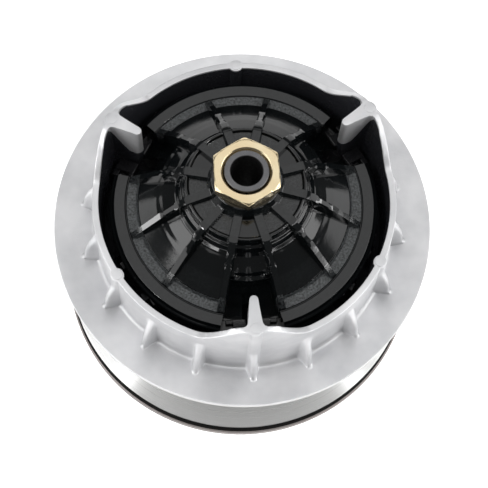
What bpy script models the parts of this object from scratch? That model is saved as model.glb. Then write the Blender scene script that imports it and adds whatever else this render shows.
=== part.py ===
"""Drive pulley of a rubber-belt variator: two conical halves on a hollow shaft, opened by a spring and
closed by three centrifugal levers whose rollers run under a ribbed governor cup.

+Z is the pulley's axis, towards the clamp nut. The origin is on the axis, in the plane that the lower
rim stands on. Angles are counted from +X; one of the three guide fins points along -Y.
"""

import math

import bmesh
import bpy
from mathutils import Matrix, Vector

MM = 0.001
GAP = 0.3 * MM                      # room between neighbours that touch on the real pulley
MERGE = 0.00001                     # welding distance

# ---- driving dimensions -------------------------------------------------------------------------
SHEAVE_R = 95 * MM                  # outer radius of both halves
CONE_SLOPE = math.tan(math.radians(12.5))   # fall of the belt faces per unit of radius
TRAVEL = 23 * MM                    # how far the sliding half closes
FIN_ANGLES = (-90, 30, 150)         # guide fins, slider shoes and cup notches, degrees
LEVER_ANGLES = (-30, 90, 210)       # centrifugal levers, degrees

# heights above the standing plane
LIP_TOP_Z = 4.8 * MM
GROOVE_TOP_Z = 10.3 * MM
FIXED_EDGE_Z = 11 * MM              # edge of the fixed half's belt face
FIXED_HUB_Z = 26 * MM               # flat round the shaft on the fixed half
SLIDING_EDGE_Z = 74 * MM            # outer top edge of the sliding half
RIM_LOW_Z = 104 * MM                # bowl rim between the fins
RIM_HIGH_Z = 123.5 * MM             # bowl rim and guide fins at the three towers
SPRING_SHOULDER_Z = 102 * MM
SLIDING_HUB_Z = 113 * MM
CUP_SEAT_Z = 118 * MM
CUP_DISC_Z = 122 * MM
CUP_COLLAR_Z = 129.5 * MM
SHAFT_TOP_Z = 136.5 * MM
SHELF_Z = 97.9 * MM                 # outer shelf and ring of the governor cup
SKIRT_Z = 84.6 * MM                 # lower edge of the cup's skirt

# radii
SHAFT_R = 15 * MM
SHAFT_FOOT_R = 19 * MM
SEAT_R = 12.5 * MM
THREAD_R = 10.4 * MM
BOLT_BORE_R = 7.4 * MM
IDLER_R = 24 * MM
SPRING_R = 20 * MM                  # to the middle of the wire
SPRING_WIRE_R = 2 * MM
BOWL_R = 70.2 * MM                  # inside of the bowl wall
BOWL_WALL = 2.6 * MM
FLANGE_WALL = 4 * MM
RING_R = 63.4 * MM                  # outer edge of the cup's smooth ring
HUB_DISC_R = 32.6 * MM
SHELF_R = 52.2 * MM                 # inner edge of the cup's shelf
SKIRT_IN_R = 60.8 * MM
SKIRT_OUT_R = 64 * MM

# centrifugal levers
PIVOT_R = 60 * MM
PIVOT_Z = 77 * MM
LEVER_LENGTH = 34 * MM
LEVER_REST_DEG = 140
LEVER_SWING_DEG = 30
LEVER_WIDTH = 14.6 * MM
ROLLER_R = 7 * MM
ROLLER_WIDTH = 9.2 * MM
PIVOT_BOLT_R = 3 * MM
ROLLER_PIN_R = 2 * MM

# guide fins and slider shoes
FIN_THICK = 4.8 * MM
FIN_TIP_R = 55.3 * MM
SHOE_BACK = 8.9 * MM                # fin's middle plane to the shoe's slot for the skirt's edge
NOTCH_HALF_DEG = 13.6

COARSE = 60                         # segments of the large turned pieces
MEDIUM = 32
FINE = 16


# ---- scene ----------------------------------------------------------------------------------------
for old in list(bpy.data.objects):
    bpy.data.objects.remove(old, do_unlink=True)


def new_collection(name):
    group = bpy.data.collections.new(name)
    bpy.context.scene.collection.children.link(group)
    return group


PARTS = new_collection("drive_pulley")
TOOLS = new_collection("cutters")
PIVOTS = new_collection("pivots")


def paint(name, colour, roughness, metallic):
    material = bpy.data.materials.new(name)
    material.use_nodes = True
    shader = material.node_tree.nodes["Principled BSDF"]
    shader.inputs["Base Color"].default_value = (*colour, 1)
    shader.inputs["Roughness"].default_value = roughness
    shader.inputs["Metallic"].default_value = metallic
    return material


CAST = paint("cast_aluminium", (0.62, 0.62, 0.63), 0.45, 1.0)
MACHINED = paint("machined_aluminium", (0.72, 0.72, 0.72), 0.25, 1.0)
BLACK = paint("black_paint", (0.02, 0.022, 0.024), 0.3, 0.0)
STEEL = paint("dark_steel", (0.16, 0.16, 0.17), 0.4, 1.0)
BRIGHT_STEEL = paint("ground_steel", (0.5, 0.5, 0.5), 0.3, 1.0)
ZINC = paint("yellow_zinc", (0.8, 0.62, 0.3), 0.3, 1.0)
SPRING_STEEL = paint("spring_steel", (0.08, 0.09, 0.12), 0.4, 0.8)
BRONZE = paint("bronze", (0.5, 0.33, 0.15), 0.4, 1.0)
NYLON = paint("black_nylon", (0.03, 0.03, 0.03), 0.55, 0.0)
RESIN = paint("roller_resin", (0.16, 0.09, 0.05), 0.5, 0.0)


# ---- modelling helpers -------------------------------------------------------------------------------
def add_object(name, mesh, group=TOOLS, material=None):
    """A mesh object; one in the cutters' collection is a helper and isn't shown."""
    thing = bpy.data.objects.new(name, mesh)
    group.objects.link(thing)
    if group is TOOLS:
        thing.hide_render = True
        thing.display_type = "WIRE"
    if material:
        mesh.materials.clear()
        mesh.materials.append(material)
    return thing


def settle(thing):
    """Replace an object by the plain mesh of what its modifiers and curve settings give, in world space."""
    bpy.context.view_layer.update()
    graph = bpy.context.evaluated_depsgraph_get()
    mesh = bpy.data.meshes.new_from_object(thing.evaluated_get(graph))
    mesh.transform(thing.matrix_world)
    weld = bmesh.new()
    weld.from_mesh(mesh)
    bmesh.ops.remove_doubles(weld, verts=weld.verts, dist=MERGE)
    weld.to_mesh(mesh)
    weld.free()
    name = thing.name
    bpy.data.objects.remove(thing, do_unlink=True)
    return add_object(name, mesh)


def turned(name, profile, segments):
    """A ring turned from a closed outline of (radius, height) that runs down its outer side first."""
    mesh = bpy.data.meshes.new(name)
    count = len(profile)
    edges = [(i, (i + 1) % count) for i in range(count)]
    mesh.from_pydata([(r, 0, z) for r, z in profile], edges, [])
    thing = add_object(name, mesh)
    screw = thing.modifiers.new("turn", "SCREW")
    screw.angle = math.tau
    screw.steps = segments
    screw.render_steps = segments
    screw.use_merge_vertices = True
    screw.merge_threshold = MERGE
    return settle(thing)


def slab(name, outline, low, high, place=Matrix.Identity(4)):
    """A flat outline of (x, y) points, filled, thick from low to high along z, then put in its place."""
    curve = bpy.data.curves.new(name, "CURVE")
    curve.dimensions = "2D"
    curve.fill_mode = "BOTH"
    curve.extrude = (high - low) / 2
    spline = curve.splines.new("POLY")
    spline.points.add(len(outline) - 1)
    for point, (x, y) in zip(spline.points, outline):
        point.co = (x, y, 0, 1)
    spline.use_cyclic_u = True
    thing = bpy.data.objects.new(name, curve)
    TOOLS.objects.link(thing)
    thing.matrix_world = place @ Matrix.Translation((0, 0, (low + high) / 2))
    return settle(thing)


def plate(name, outline, thickness, place=Matrix.Identity(4)):
    """An upright plate: an outline of (x, z) points, given its thickness along y."""
    return slab(name, outline, -thickness / 2, thickness / 2, place @ Matrix.Rotation(math.pi / 2, 4, "X"))


def rod(name, radius, length, segments, place=Matrix.Identity(4)):
    """A cylinder along z, centred on the origin of its place."""
    mesh = bpy.data.meshes.new(name)
    body = bmesh.new()
    bmesh.ops.create_cone(body, cap_ends=True, segments=segments, radius1=radius, radius2=radius, depth=length)
    body.to_mesh(mesh)
    body.free()
    mesh.transform(place)
    return add_object(name, mesh)


def block(name, low, high, place=Matrix.Identity(4)):
    """A box between two corners, put in its place."""
    mesh = bpy.data.meshes.new(name)
    body = bmesh.new()
    bmesh.ops.create_cube(body, size=1)
    size = Vector(high) - Vector(low)
    middle = (Vector(high) + Vector(low)) / 2
    body.transform(Matrix.Translation(middle) @ Matrix.Diagonal(size).to_4x4())
    body.to_mesh(mesh)
    body.free()
    mesh.transform(place)
    return add_object(name, mesh)


def merged(name, pieces):
    """One helper that holds several pieces that don't touch each other."""
    body = bmesh.new()
    for piece in pieces:
        body.from_mesh(piece.data)
        bpy.data.objects.remove(piece, do_unlink=True)
    mesh = bpy.data.meshes.new(name)
    body.to_mesh(mesh)
    body.free()
    return add_object(name, mesh)


def combine(thing, helper, operation):
    """Union, difference or intersection of a piece with a helper, as a plain mesh."""
    step = thing.modifiers.new(helper.name, "BOOLEAN")
    step.operation = operation
    step.solver = "EXACT"
    step.object = helper
    result = settle(thing)
    bpy.data.objects.remove(helper, do_unlink=True)
    return result


def finish(thing, name, material, origin=None, angle=0, parent=None):
    """Put a piece among the parts, with its origin at its joint or its own middle."""
    mesh = thing.data
    bpy.data.objects.remove(thing, do_unlink=True)
    mesh.name = name
    part = add_object(name, mesh, PARTS, material)
    mesh.shade_smooth()
    mesh.set_sharp_from_angle(angle=math.radians(30))
    if origin is not None:
        frame = Matrix.Translation(origin) @ Matrix.Rotation(math.radians(angle), 4, "Z")
        mesh.transform(frame.inverted())
        part.matrix_world = frame
    if parent:
        bpy.context.view_layer.update()
        keep = part.matrix_world.copy()
        part.parent = parent
        part.matrix_parent_inverse = parent.matrix_world.inverted()
        part.matrix_world = keep
    return part


def spoke(degrees):
    """The place whose x runs outwards at this angle."""
    return Matrix.Rotation(math.radians(degrees), 4, "Z")


def polar(radius, degrees, z):
    turn = math.radians(degrees)
    return Vector((radius * math.cos(turn), radius * math.sin(turn), z))


def arc(centre, radius, start_deg, end_deg, steps):
    """Points along an arc round a centre, both ends included."""
    points = []
    for i in range(steps + 1):
        turn = math.radians(start_deg + (end_deg - start_deg) * i / steps)
        points.append((centre[0] + radius * math.cos(turn), centre[1] + radius * math.sin(turn)))
    return points


def round_discs(discs, steps=28):
    """The outline of a tight band round several discs, each (x, z, radius)."""
    outline = []
    for i in range(steps):
        turn = math.tau * i / steps
        out = Vector((math.cos(turn), math.sin(turn)))
        best = max(discs, key=lambda disc: out.dot(Vector(disc[:2])) + disc[2])
        outline.append((best[0] + best[2] * out.x, best[1] + best[2] * out.y))
    return outline


def pivot_empty(name, origin):
    marker = bpy.data.objects.new(name, None)
    marker.empty_display_size = 0.01
    PIVOTS.objects.link(marker)
    marker.location = origin
    return marker


# ---- fixed half and shaft ------------------------------------------------------------------------------
def belt_face_z(radius, edge_radius, edge_z):
    """Height of the fixed half's cone: it rises evenly from its edge towards the shaft."""
    return edge_z + (edge_radius - radius) * CONE_SLOPE


def fixed_half():
    """Casting with the lower belt face, a grooved rim, a hub and six stiffening ribs on its back."""
    edge_r = SHEAVE_R - 1.5 * MM
    hub_r = 28 * MM
    wall = 5 * MM
    rim_in_r = 89 * MM
    profile = [
        (edge_r, FIXED_EDGE_Z),
        (edge_r - 1.2 * MM, GROOVE_TOP_Z),
        (edge_r - 1.2 * MM, LIP_TOP_Z + 0.8 * MM),
        (SHEAVE_R, LIP_TOP_Z),
        (SHEAVE_R, 0),
        (rim_in_r + 1 * MM, 0),
        (rim_in_r, belt_face_z(rim_in_r, edge_r, FIXED_EDGE_Z) - wall),
        (hub_r + 2 * MM, belt_face_z(hub_r, edge_r, FIXED_EDGE_Z) - wall),
        (hub_r, 1 * MM),
        (SHAFT_FOOT_R + GAP, 1 * MM),
        (SHAFT_FOOT_R + GAP, FIXED_HUB_Z - GAP),
        (26 * MM, FIXED_HUB_Z),
    ]
    casting = turned("fixed_half", profile, COARSE)
    ribs = []
    for angle in range(0, 360, 60):
        outline = [
            (hub_r - 1 * MM, 2.5 * MM),
            (rim_in_r + 2 * MM, 2.5 * MM),
            (rim_in_r + 2 * MM, 8 * MM),
            (hub_r - 1 * MM, 22 * MM),
        ]
        ribs.append(plate("rib", outline, 3.4 * MM, spoke(angle)))
    casting = combine(casting, merged("back_ribs", ribs), "UNION")
    finish(casting, "fixed_half", MACHINED)


def drive_shaft():
    """Hollow shaft: tapered seat for the crank below, a bolt bore all the way, cup seat and thread on top."""
    taper_top_z = 46 * MM
    profile = [
        (THREAD_R - 0.9 * MM, SHAFT_TOP_Z),
        (THREAD_R, SHAFT_TOP_Z - 0.9 * MM),
        (THREAD_R, CUP_COLLAR_Z - 1 * MM),
        (SEAT_R, CUP_COLLAR_Z - 1.4 * MM),
        (SEAT_R, CUP_SEAT_Z - GAP),
        (SHAFT_R, CUP_SEAT_Z - GAP),
        (SHAFT_R, FIXED_HUB_Z),
        (SHAFT_FOOT_R, FIXED_HUB_Z - 0.4 * MM),
        (SHAFT_FOOT_R, 0.4 * MM),
        (14.4 * MM, 0.4 * MM),
        (11.4 * MM, taper_top_z),
        (BOLT_BORE_R, taper_top_z + 3 * MM),
        (BOLT_BORE_R, SHAFT_TOP_Z),
    ]
    finish(turned("drive_shaft", profile, MEDIUM), "drive_shaft", STEEL)


def washer(name, inner, outer, low, high, material, segments=MEDIUM, origin=None):
    """A plain ring: washer, bush, sleeve or spacer."""
    profile = [(outer, high), (outer, low), (inner, low), (inner, high)]
    return finish(turned(name, profile, segments), name, material, origin)


def idler_and_spring():
    """What sits on the shaft between the cones: thrust washer, one-way bearing, idler, seat and spring."""
    bore = SHAFT_R + GAP
    low = FIXED_HUB_Z + GAP
    washer("idler_washer", bore, IDLER_R, low, low + 1.5 * MM, BRIGHT_STEEL)
    sleeve_low = low + 1.5 * MM + GAP
    sleeve_high = 51.9 * MM
    washer("idler_bearing", bore, 19.6 * MM, sleeve_low, sleeve_high, BRONZE)
    axis_point = (0, 0, (sleeve_low + sleeve_high) / 2)
    washer("idler_sleeve", 20 * MM, IDLER_R, sleeve_low, sleeve_high, BRIGHT_STEEL, origin=axis_point)
    seat_high = sleeve_high + GAP + 1.8 * MM
    washer("spring_seat", bore, IDLER_R, sleeve_high + GAP, seat_high, STEEL)
    coil_spring(seat_high + GAP, SPRING_SHOULDER_Z - GAP)


def coil_spring(low, high):
    """Compression spring: a helix whose first and last turns lie almost closed."""
    turns = 5.5
    closed_pitch = 4.35 * MM
    open_turns = turns - 2
    first = low + SPRING_WIRE_R
    last = high - SPRING_WIRE_R
    open_pitch = (last - first - 2 * closed_pitch) / open_turns
    steps_per_turn = 12
    curve = bpy.data.curves.new("return_spring", "CURVE")
    curve.dimensions = "3D"
    curve.bevel_depth = SPRING_WIRE_R
    curve.bevel_resolution = 2
    curve.use_fill_caps = True
    spline = curve.splines.new("POLY")
    count = int(turns * steps_per_turn) + 1
    spline.points.add(count - 1)
    for i in range(count):
        done = i / steps_per_turn
        rise = closed_pitch * min(done, 1)
        rise += open_pitch * min(max(done - 1, 0), open_turns)
        rise += closed_pitch * max(done - turns + 1, 0)
        turn = math.tau * done
        spline.points[i].co = (SPRING_R * math.cos(turn), SPRING_R * math.sin(turn), first + rise, 1)
    thing = bpy.data.objects.new("return_spring", curve)
    TOOLS.objects.link(thing)
    finish(settle(thing), "return_spring", SPRING_STEEL)


# ---- sliding half ----------------------------------------------------------------------------------------
def smooth(value):
    """Smooth step from 0 to 1."""
    value = min(max(value, 0), 1)
    return value * value * (3 - 2 * value)


def rim_height(degrees):
    """Top of the bowl wall at an angle: three towers at the fins, level between them."""
    from_fin = min(abs((degrees - fin + 180) % 360 - 180) for fin in FIN_ANGLES)
    fall = smooth((from_fin - 8) / 12)
    return RIM_HIGH_Z + (RIM_LOW_Z - RIM_HIGH_Z) * fall


def flange_top_z(radius):
    """The flange is dished: its top falls evenly from the edge towards the wall."""
    return SLIDING_EDGE_Z - (SHEAVE_R - radius) * CONE_SLOPE


def sliding_body():
    """Upper cone with its dished flange, and the hub tube that houses the spring and the bush."""
    bore_r = IDLER_R + 1.2 * MM
    spring_bore_r = SPRING_R + SPRING_WIRE_R + 1 * MM
    bush_bore_r = 18 * MM
    bore_step_z = 80 * MM
    hub_in_r = 26 * MM
    hub_low_z = flange_top_z(hub_in_r) - FLANGE_WALL
    profile = [
        (SHEAVE_R, SLIDING_EDGE_Z),
        (SHEAVE_R, SLIDING_EDGE_Z - FLANGE_WALL),
        (hub_in_r + 0.4 * MM, hub_low_z),
        (bore_r, hub_low_z + 0.5 * MM),
        (bore_r, bore_step_z),
        (spring_bore_r, bore_step_z + 2 * MM),
        (spring_bore_r, SPRING_SHOULDER_Z),
        (bush_bore_r, SPRING_SHOULDER_Z),
        (bush_bore_r, SLIDING_HUB_Z),
        (21 * MM, SLIDING_HUB_Z),
        (26.1 * MM, SLIDING_HUB_Z - 7 * MM),
        (26.1 * MM, bore_step_z + 3 * MM),
        (29.5 * MM, bore_step_z - 2 * MM),
        (30.5 * MM, flange_top_z(30.5 * MM) + 3 * MM),
        (34 * MM, flange_top_z(34 * MM)),
        (BOWL_R, flange_top_z(BOWL_R)),
    ]
    return turned("sliding_half", profile, COARSE)


def bowl_wall():
    """Thin wall of the bowl; its rim follows rim_height."""
    low = flange_top_z(BOWL_R) - 2 * MM
    profile = [
        (BOWL_R + BOWL_WALL, RIM_LOW_Z),
        (BOWL_R + BOWL_WALL + 1.2 * MM, low),
        (BOWL_R, low),
        (BOWL_R, RIM_LOW_Z),
    ]
    wall = turned("bowl_wall", profile, COARSE)
    for vertex in wall.data.vertices:
        if vertex.co.z > RIM_LOW_Z - GAP:
            vertex.co.z = rim_height(math.degrees(math.atan2(vertex.co.y, vertex.co.x)))
    return wall


def outer_gussets():
    """Eighteen small triangular webs between the bowl wall and the flange."""
    gussets = []
    reach = 9.5 * MM
    for angle in range(-90, 270, 20):
        outline = [
            (BOWL_R + 1 * MM, flange_top_z(BOWL_R) - 1 * MM),
            (BOWL_R + BOWL_WALL + reach, flange_top_z(BOWL_R + BOWL_WALL + reach) - 1 * MM),
            (BOWL_R + BOWL_WALL + reach - 2 * MM, flange_top_z(BOWL_R + reach) + 1.5 * MM),
            (BOWL_R + 1.5 * MM, flange_top_z(BOWL_R) + 12 * MM),
        ]
        gussets.append(plate("gusset", outline, 3 * MM, spoke(angle)))
    return merged("gussets", gussets)


def rim_bosses():
    """Six round pads on the rim: one on each tower, one midway between two."""
    bosses = []
    boss_r = 2.9 * MM
    depth = 24 * MM
    for angle in range(-90, 270, 60):
        top = rim_height(angle) + 0.2 * MM
        place = Matrix.Translation(polar(BOWL_R + BOWL_WALL / 2, angle, top - depth / 2))
        bosses.append(rod("boss", boss_r, depth, FINE, place))
    return merged("rim_bosses", bosses)


def guide_fins():
    """Three upright fins that reach into the cup's notches and carry the torque; their tips are round."""
    fins = []
    foot_r = 62 * MM
    for angle in FIN_ANGLES:
        outline = [
            (BOWL_R + 1.3 * MM, RIM_HIGH_Z - GAP),
            (FIN_TIP_R, RIM_HIGH_Z - GAP),
            (FIN_TIP_R, 100 * MM),
            (foot_r, flange_top_z(foot_r) - 1 * MM),
            (BOWL_R + 1.3 * MM, flange_top_z(BOWL_R) - 1 * MM),
        ]
        fin = plate("fin", outline, FIN_THICK, spoke(angle))
        bevel = fin.modifiers.new("round", "BEVEL")
        bevel.width = FIN_THICK * 0.3
        bevel.segments = 1
        bevel.limit_method = "ANGLE"
        fins.append(settle(fin))
    return merged("guide_fins", fins)


def lever_lugs():
    """Two ears for each lever's pivot bolt, standing on the bowl's floor."""
    lugs = []
    inner = LEVER_WIDTH / 2 + GAP
    thick = 4 * MM
    foot = 8 * MM
    for angle in LEVER_ANGLES:
        for side in (-1, 1):
            outline = [(PIVOT_R - foot, flange_top_z(PIVOT_R - foot) - 1 * MM)]
            outline.append((PIVOT_R + foot, flange_top_z(PIVOT_R + foot) - 1 * MM))
            outline += arc((PIVOT_R, PIVOT_Z), 5.5 * MM, 0, 180, 8)
            place = spoke(angle) @ Matrix.Translation((0, side * (inner + thick / 2), 0))
            lugs.append(plate("lug", outline, thick, place))
    return merged("lever_lugs", lugs)


def cross_hole(radius, width, angle, centre_r, centre_z, segments=FINE):
    """A cylinder lying across a spoke."""
    place = spoke(angle) @ Matrix.Translation((centre_r, 0, centre_z)) @ Matrix.Rotation(math.pi / 2, 4, "X")
    return rod("cross_hole", radius, width, segments, place)


def sliding_half():
    body = sliding_body()
    body = combine(body, bowl_wall(), "UNION")
    body = combine(body, guide_fins(), "UNION")
    body = combine(body, outer_gussets(), "UNION")
    body = combine(body, rim_bosses(), "UNION")
    body = combine(body, lever_lugs(), "UNION")
    holes = [cross_hole(PIVOT_BOLT_R + GAP, 40 * MM, a, PIVOT_R, PIVOT_Z, 16) for a in LEVER_ANGLES]
    body = combine(body, merged("pivot_holes", holes), "DIFFERENCE")
    slide = pivot_empty("sliding_axis", (0, 0, SLIDING_EDGE_Z))
    finish(body, "sliding_half", CAST, (0, 0, SLIDING_EDGE_Z), parent=slide)
    low = SPRING_SHOULDER_Z + GAP
    washer("sliding_bush", SHAFT_R + GAP, 17.7 * MM, low, SLIDING_HUB_Z - GAP, BRONZE)


# ---- centrifugal levers -------------------------------------------------------------------------------------
def lever_set(number, angle):
    """One forked lever with its pivot bolt and nut, and a roller on a pin in the fork."""
    tag = f"_{number}"
    swing = math.radians(LEVER_REST_DEG)
    tip_x = PIVOT_R + LEVER_LENGTH * math.cos(swing)
    tip_z = PIVOT_Z + LEVER_LENGTH * math.sin(swing)
    pivot = polar(PIVOT_R, angle, PIVOT_Z)
    marker = pivot_empty("lever_axis" + tag, pivot)

    outline = round_discs([
        (PIVOT_R, PIVOT_Z, 5.2 * MM),
        (tip_x, tip_z, 4.8 * MM),
        (PIVOT_R - 15 * MM, PIVOT_Z + 5.5 * MM, 6 * MM),
    ])
    arm = plate("lever", outline, LEVER_WIDTH, spoke(angle))
    arm = combine(arm, cross_hole(ROLLER_R + 0.8 * MM, ROLLER_WIDTH + 2 * GAP, angle, tip_x, tip_z), "DIFFERENCE")
    arm = combine(arm, cross_hole(PIVOT_BOLT_R + GAP, 30 * MM, angle, PIVOT_R, PIVOT_Z, 16), "DIFFERENCE")
    arm = combine(arm, cross_hole(ROLLER_PIN_R + GAP, 30 * MM, angle, tip_x, tip_z, 16), "DIFFERENCE")
    finish(arm, "lever" + tag, STEEL, pivot, angle, marker)

    tip = polar(tip_x, angle, tip_z)
    roller = cross_hole(ROLLER_R, ROLLER_WIDTH, angle, tip_x, tip_z, 24)
    bore = cross_hole(ROLLER_PIN_R + GAP, 20 * MM, angle, tip_x, tip_z, 16)
    finish(combine(roller, bore, "DIFFERENCE"), "roller" + tag, RESIN, tip, angle)
    finish(cross_hole(ROLLER_PIN_R, LEVER_WIDTH, angle, tip_x, tip_z, 16), "roller_pin" + tag, BRIGHT_STEEL, tip, angle)

    head_in = LEVER_WIDTH / 2 + GAP + 4 * MM + GAP
    hex_thick = 4 * MM
    hex_r = 5.4 * MM
    shank = cross_hole(PIVOT_BOLT_R, 2 * (head_in + hex_thick), angle, PIVOT_R, PIVOT_Z, 16)
    head_place = spoke(angle) @ Matrix.Translation((PIVOT_R, -head_in - hex_thick / 2, PIVOT_Z))
    flat = Matrix.Rotation(math.pi / 2, 4, "X")
    head = rod("head", hex_r, hex_thick + 0.2 * MM, 6, head_place @ Matrix.Translation((0, -0.1 * MM, 0)) @ flat)
    finish(combine(shank, head, "UNION"), "lever_bolt" + tag, BRIGHT_STEEL, pivot, angle)

    nut_place = spoke(angle) @ Matrix.Translation((PIVOT_R, head_in + hex_thick / 2, PIVOT_Z))
    nut = rod("nut", hex_r, hex_thick, 6, nut_place @ flat)
    nut = combine(nut, rod("nut_bore", PIVOT_BOLT_R + GAP, 12 * MM, 16, nut_place @ flat), "DIFFERENCE")
    finish(nut, "lever_nut" + tag, BRIGHT_STEEL, pivot, angle)


# ---- governor cup -------------------------------------------------------------------------------------------
def roller_path(travel):
    """Middle of a roller, as (radius, height) in the cup, when the sliding half has moved by travel."""
    swing = math.radians(LEVER_REST_DEG - LEVER_SWING_DEG * travel / TRAVEL)
    radius = PIVOT_R + LEVER_LENGTH * math.cos(swing)
    height = PIVOT_Z - travel + LEVER_LENGTH * math.sin(swing)
    return Vector((radius, height))


def ramp_line(steps=10):
    """The roller's path moved outwards by its radius and the gap: the line that the ramp follows."""
    line = []
    step = TRAVEL / 1000
    for i in range(-1, steps + 2):
        travel = TRAVEL * i / steps
        along = (roller_path(travel + step) - roller_path(travel - step)).normalized()
        outward = Vector((-along.y, along.x))
        if outward.y < 0:
            outward = -outward
        line.append(roller_path(travel) + outward * (ROLLER_R + GAP + 0.1 * MM))
    return [(p.x, p.y) for p in line]


def cup_shell():
    """Turned shell of the cup: collar, disc, steep shoulder, cone, shelf, ring, lip and skirt."""
    profile = [
        (18.6 * MM, CUP_COLLAR_Z),
        (19.2 * MM, CUP_DISC_Z),
        (HUB_DISC_R, CUP_DISC_Z),
        (HUB_DISC_R + 1.4 * MM, 114 * MM),
        (SHELF_R, SHELF_Z),
        (RING_R, SHELF_Z),
        (RING_R + 0.4 * MM, 96.2 * MM),
        (65.4 * MM, 95.4 * MM),
        (65.4 * MM, 92.4 * MM),
        (SKIRT_OUT_R, 91.4 * MM),
        (SKIRT_OUT_R, SKIRT_Z),
        (SKIRT_IN_R, SKIRT_Z),
        (SKIRT_IN_R, 93.4 * MM),
        (SHELF_R, 94 * MM),
        (HUB_DISC_R + 1.4 * MM, 110 * MM),
        (HUB_DISC_R - 0.5 * MM, 111.5 * MM),
        (23 * MM, 115.4 * MM),
        (SHAFT_R + 2 * MM, CUP_SEAT_Z),
        (SEAT_R + GAP, CUP_SEAT_Z),
        (SEAT_R + GAP, CUP_COLLAR_Z),
    ]
    return turned("governor_cup", profile, COARSE)


def cup_ribs():
    """Twelve ribs from the collar down to the shelf, highest where the disc ends."""
    outline = [
        (17 * MM, 121 * MM),
        (30 * MM, 114 * MM),
        (50 * MM, 97 * MM),
        (57.2 * MM, 96 * MM),
        (57.2 * MM, 98.4 * MM),
        (34 * MM, 122.4 * MM),
        (17 * MM, 124.6 * MM),
    ]
    ribs = [plate("rib", outline, 2.4 * MM, spoke(a)) for a in range(-75, 285, 30)]
    return merged("cup_ribs", ribs)


def cup_ramps():
    """Thick strips under the cone, shaped so that each roller keeps rolling on its strip."""
    line = ramp_line()
    lift = 2.6 * MM
    outline = line + [(r + lift * 0.5, z + lift) for r, z in reversed(line)]
    ramps = [plate("ramp", outline, ROLLER_WIDTH + 1.6 * MM, spoke(a)) for a in LEVER_ANGLES]
    return merged("ramps", ramps)


def ring_gaps():
    """Wide gaps in the ring and the shelf, one at each fin."""
    near = 53.5 * MM
    far = 75 * MM
    spread = math.tan(math.radians(NOTCH_HALF_DEG))
    outline = [(near, -near * spread), (far, -far * spread), (far, far * spread), (near, near * spread)]
    floor_z = 95.4 * MM
    gaps = [slab("gap", outline, floor_z, floor_z + 8 * MM, spoke(angle)) for angle in FIN_ANGLES]
    return merged("ring_gaps", gaps)


def skirt_channels():
    """Channels through the skirt, just wider than a fin and its two shoes."""
    half = SHOE_BACK + GAP
    low = (56.2 * MM, -half, 80 * MM)
    high = (74 * MM, half, 101 * MM)
    return merged("skirt_channels", [block("channel", low, high, spoke(angle)) for angle in FIN_ANGLES])


def tip_slots():
    """Slots with a round inner end that give the tips of the fins room."""
    half = 4.2 * MM
    outline = arc((51.4 * MM, 0), half, 90, 270, 10)
    outline += [(57 * MM, -half), (57 * MM, half)]
    slots = [slab("slot", outline, 83 * MM, 112 * MM, spoke(angle)) for angle in FIN_ANGLES]
    return merged("tip_slots", slots)


def governor_cup():
    cup = cup_shell()
    cup = combine(cup, cup_ribs(), "UNION")
    cup = combine(cup, cup_ramps(), "UNION")
    cup = combine(cup, ring_gaps(), "DIFFERENCE")
    cup = combine(cup, skirt_channels(), "DIFFERENCE")
    cup = combine(cup, tip_slots(), "DIFFERENCE")
    finish(cup, "governor_cup", BLACK)


def slider_shoes():
    """Two nylon shoes at each fin, clipped over the edges of the skirt's channel."""
    front = FIN_THICK / 2 + GAP
    back = 12.4 * MM
    low = SKIRT_Z + 0.5 * MM
    high = 91 * MM
    number = 0
    for angle in FIN_ANGLES:
        for side in (-1, 1):
            number += 1
            ends = sorted((side * front, side * back))
            shoe = block("shoe", (57 * MM, ends[0], low), (67.4 * MM, ends[1], high), spoke(angle))
            grip = sorted((side * SHOE_BACK, side * (back + 2 * MM)))
            slot_low = (SKIRT_IN_R - 1.8 * MM, grip[0], low - 2 * MM)
            slot_high = (SKIRT_OUT_R + GAP, grip[1], high + 2 * MM)
            shoe = combine(shoe, block("grip", slot_low, slot_high, spoke(angle)), "DIFFERENCE")
            middle = polar(62 * MM, angle, (low + high) / 2)
            finish(shoe, f"slider_shoe_{number}", NYLON, middle, angle)


def clamp_nut():
    """Hexagon nut that clamps the cup: a turned ring with chamfers, cut to a hexagon."""
    low = CUP_COLLAR_Z + GAP
    high = SHAFT_TOP_Z
    across_flats = 30 * MM
    corner_r = across_flats / 2 / math.cos(math.pi / 6)
    bore = THREAD_R + GAP
    profile = [
        (15.2 * MM, high),
        (corner_r + 0.2 * MM, high - 1.3 * MM),
        (corner_r + 0.2 * MM, low + 0.6 * MM),
        (16.2 * MM, low),
        (bore, low),
        (bore, high - 0.8 * MM),
        (bore + 0.8 * MM, high),
    ]
    nut = turned("clamp_nut", profile, MEDIUM + 4)
    turn = Matrix.Rotation(math.radians(30), 4, "Z")
    prism = rod("hexagon", corner_r, 20 * MM, 6, Matrix.Translation((0, 0, (low + high) / 2)) @ turn)
    finish(combine(nut, prism, "INTERSECT"), "clamp_nut", ZINC)


fixed_half()
drive_shaft()
idler_and_spring()
sliding_half()
for index, lever_angle in enumerate(LEVER_ANGLES, start=1):
    lever_set(index, lever_angle)
governor_cup()
slider_shoes()
clamp_nut()
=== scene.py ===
"""Drive pulley of a belt variator: every part in the order it is put on the shaft."""
import math

import bmesh
import bpy
import numpy as np
from mathutils import Matrix, Vector


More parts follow.
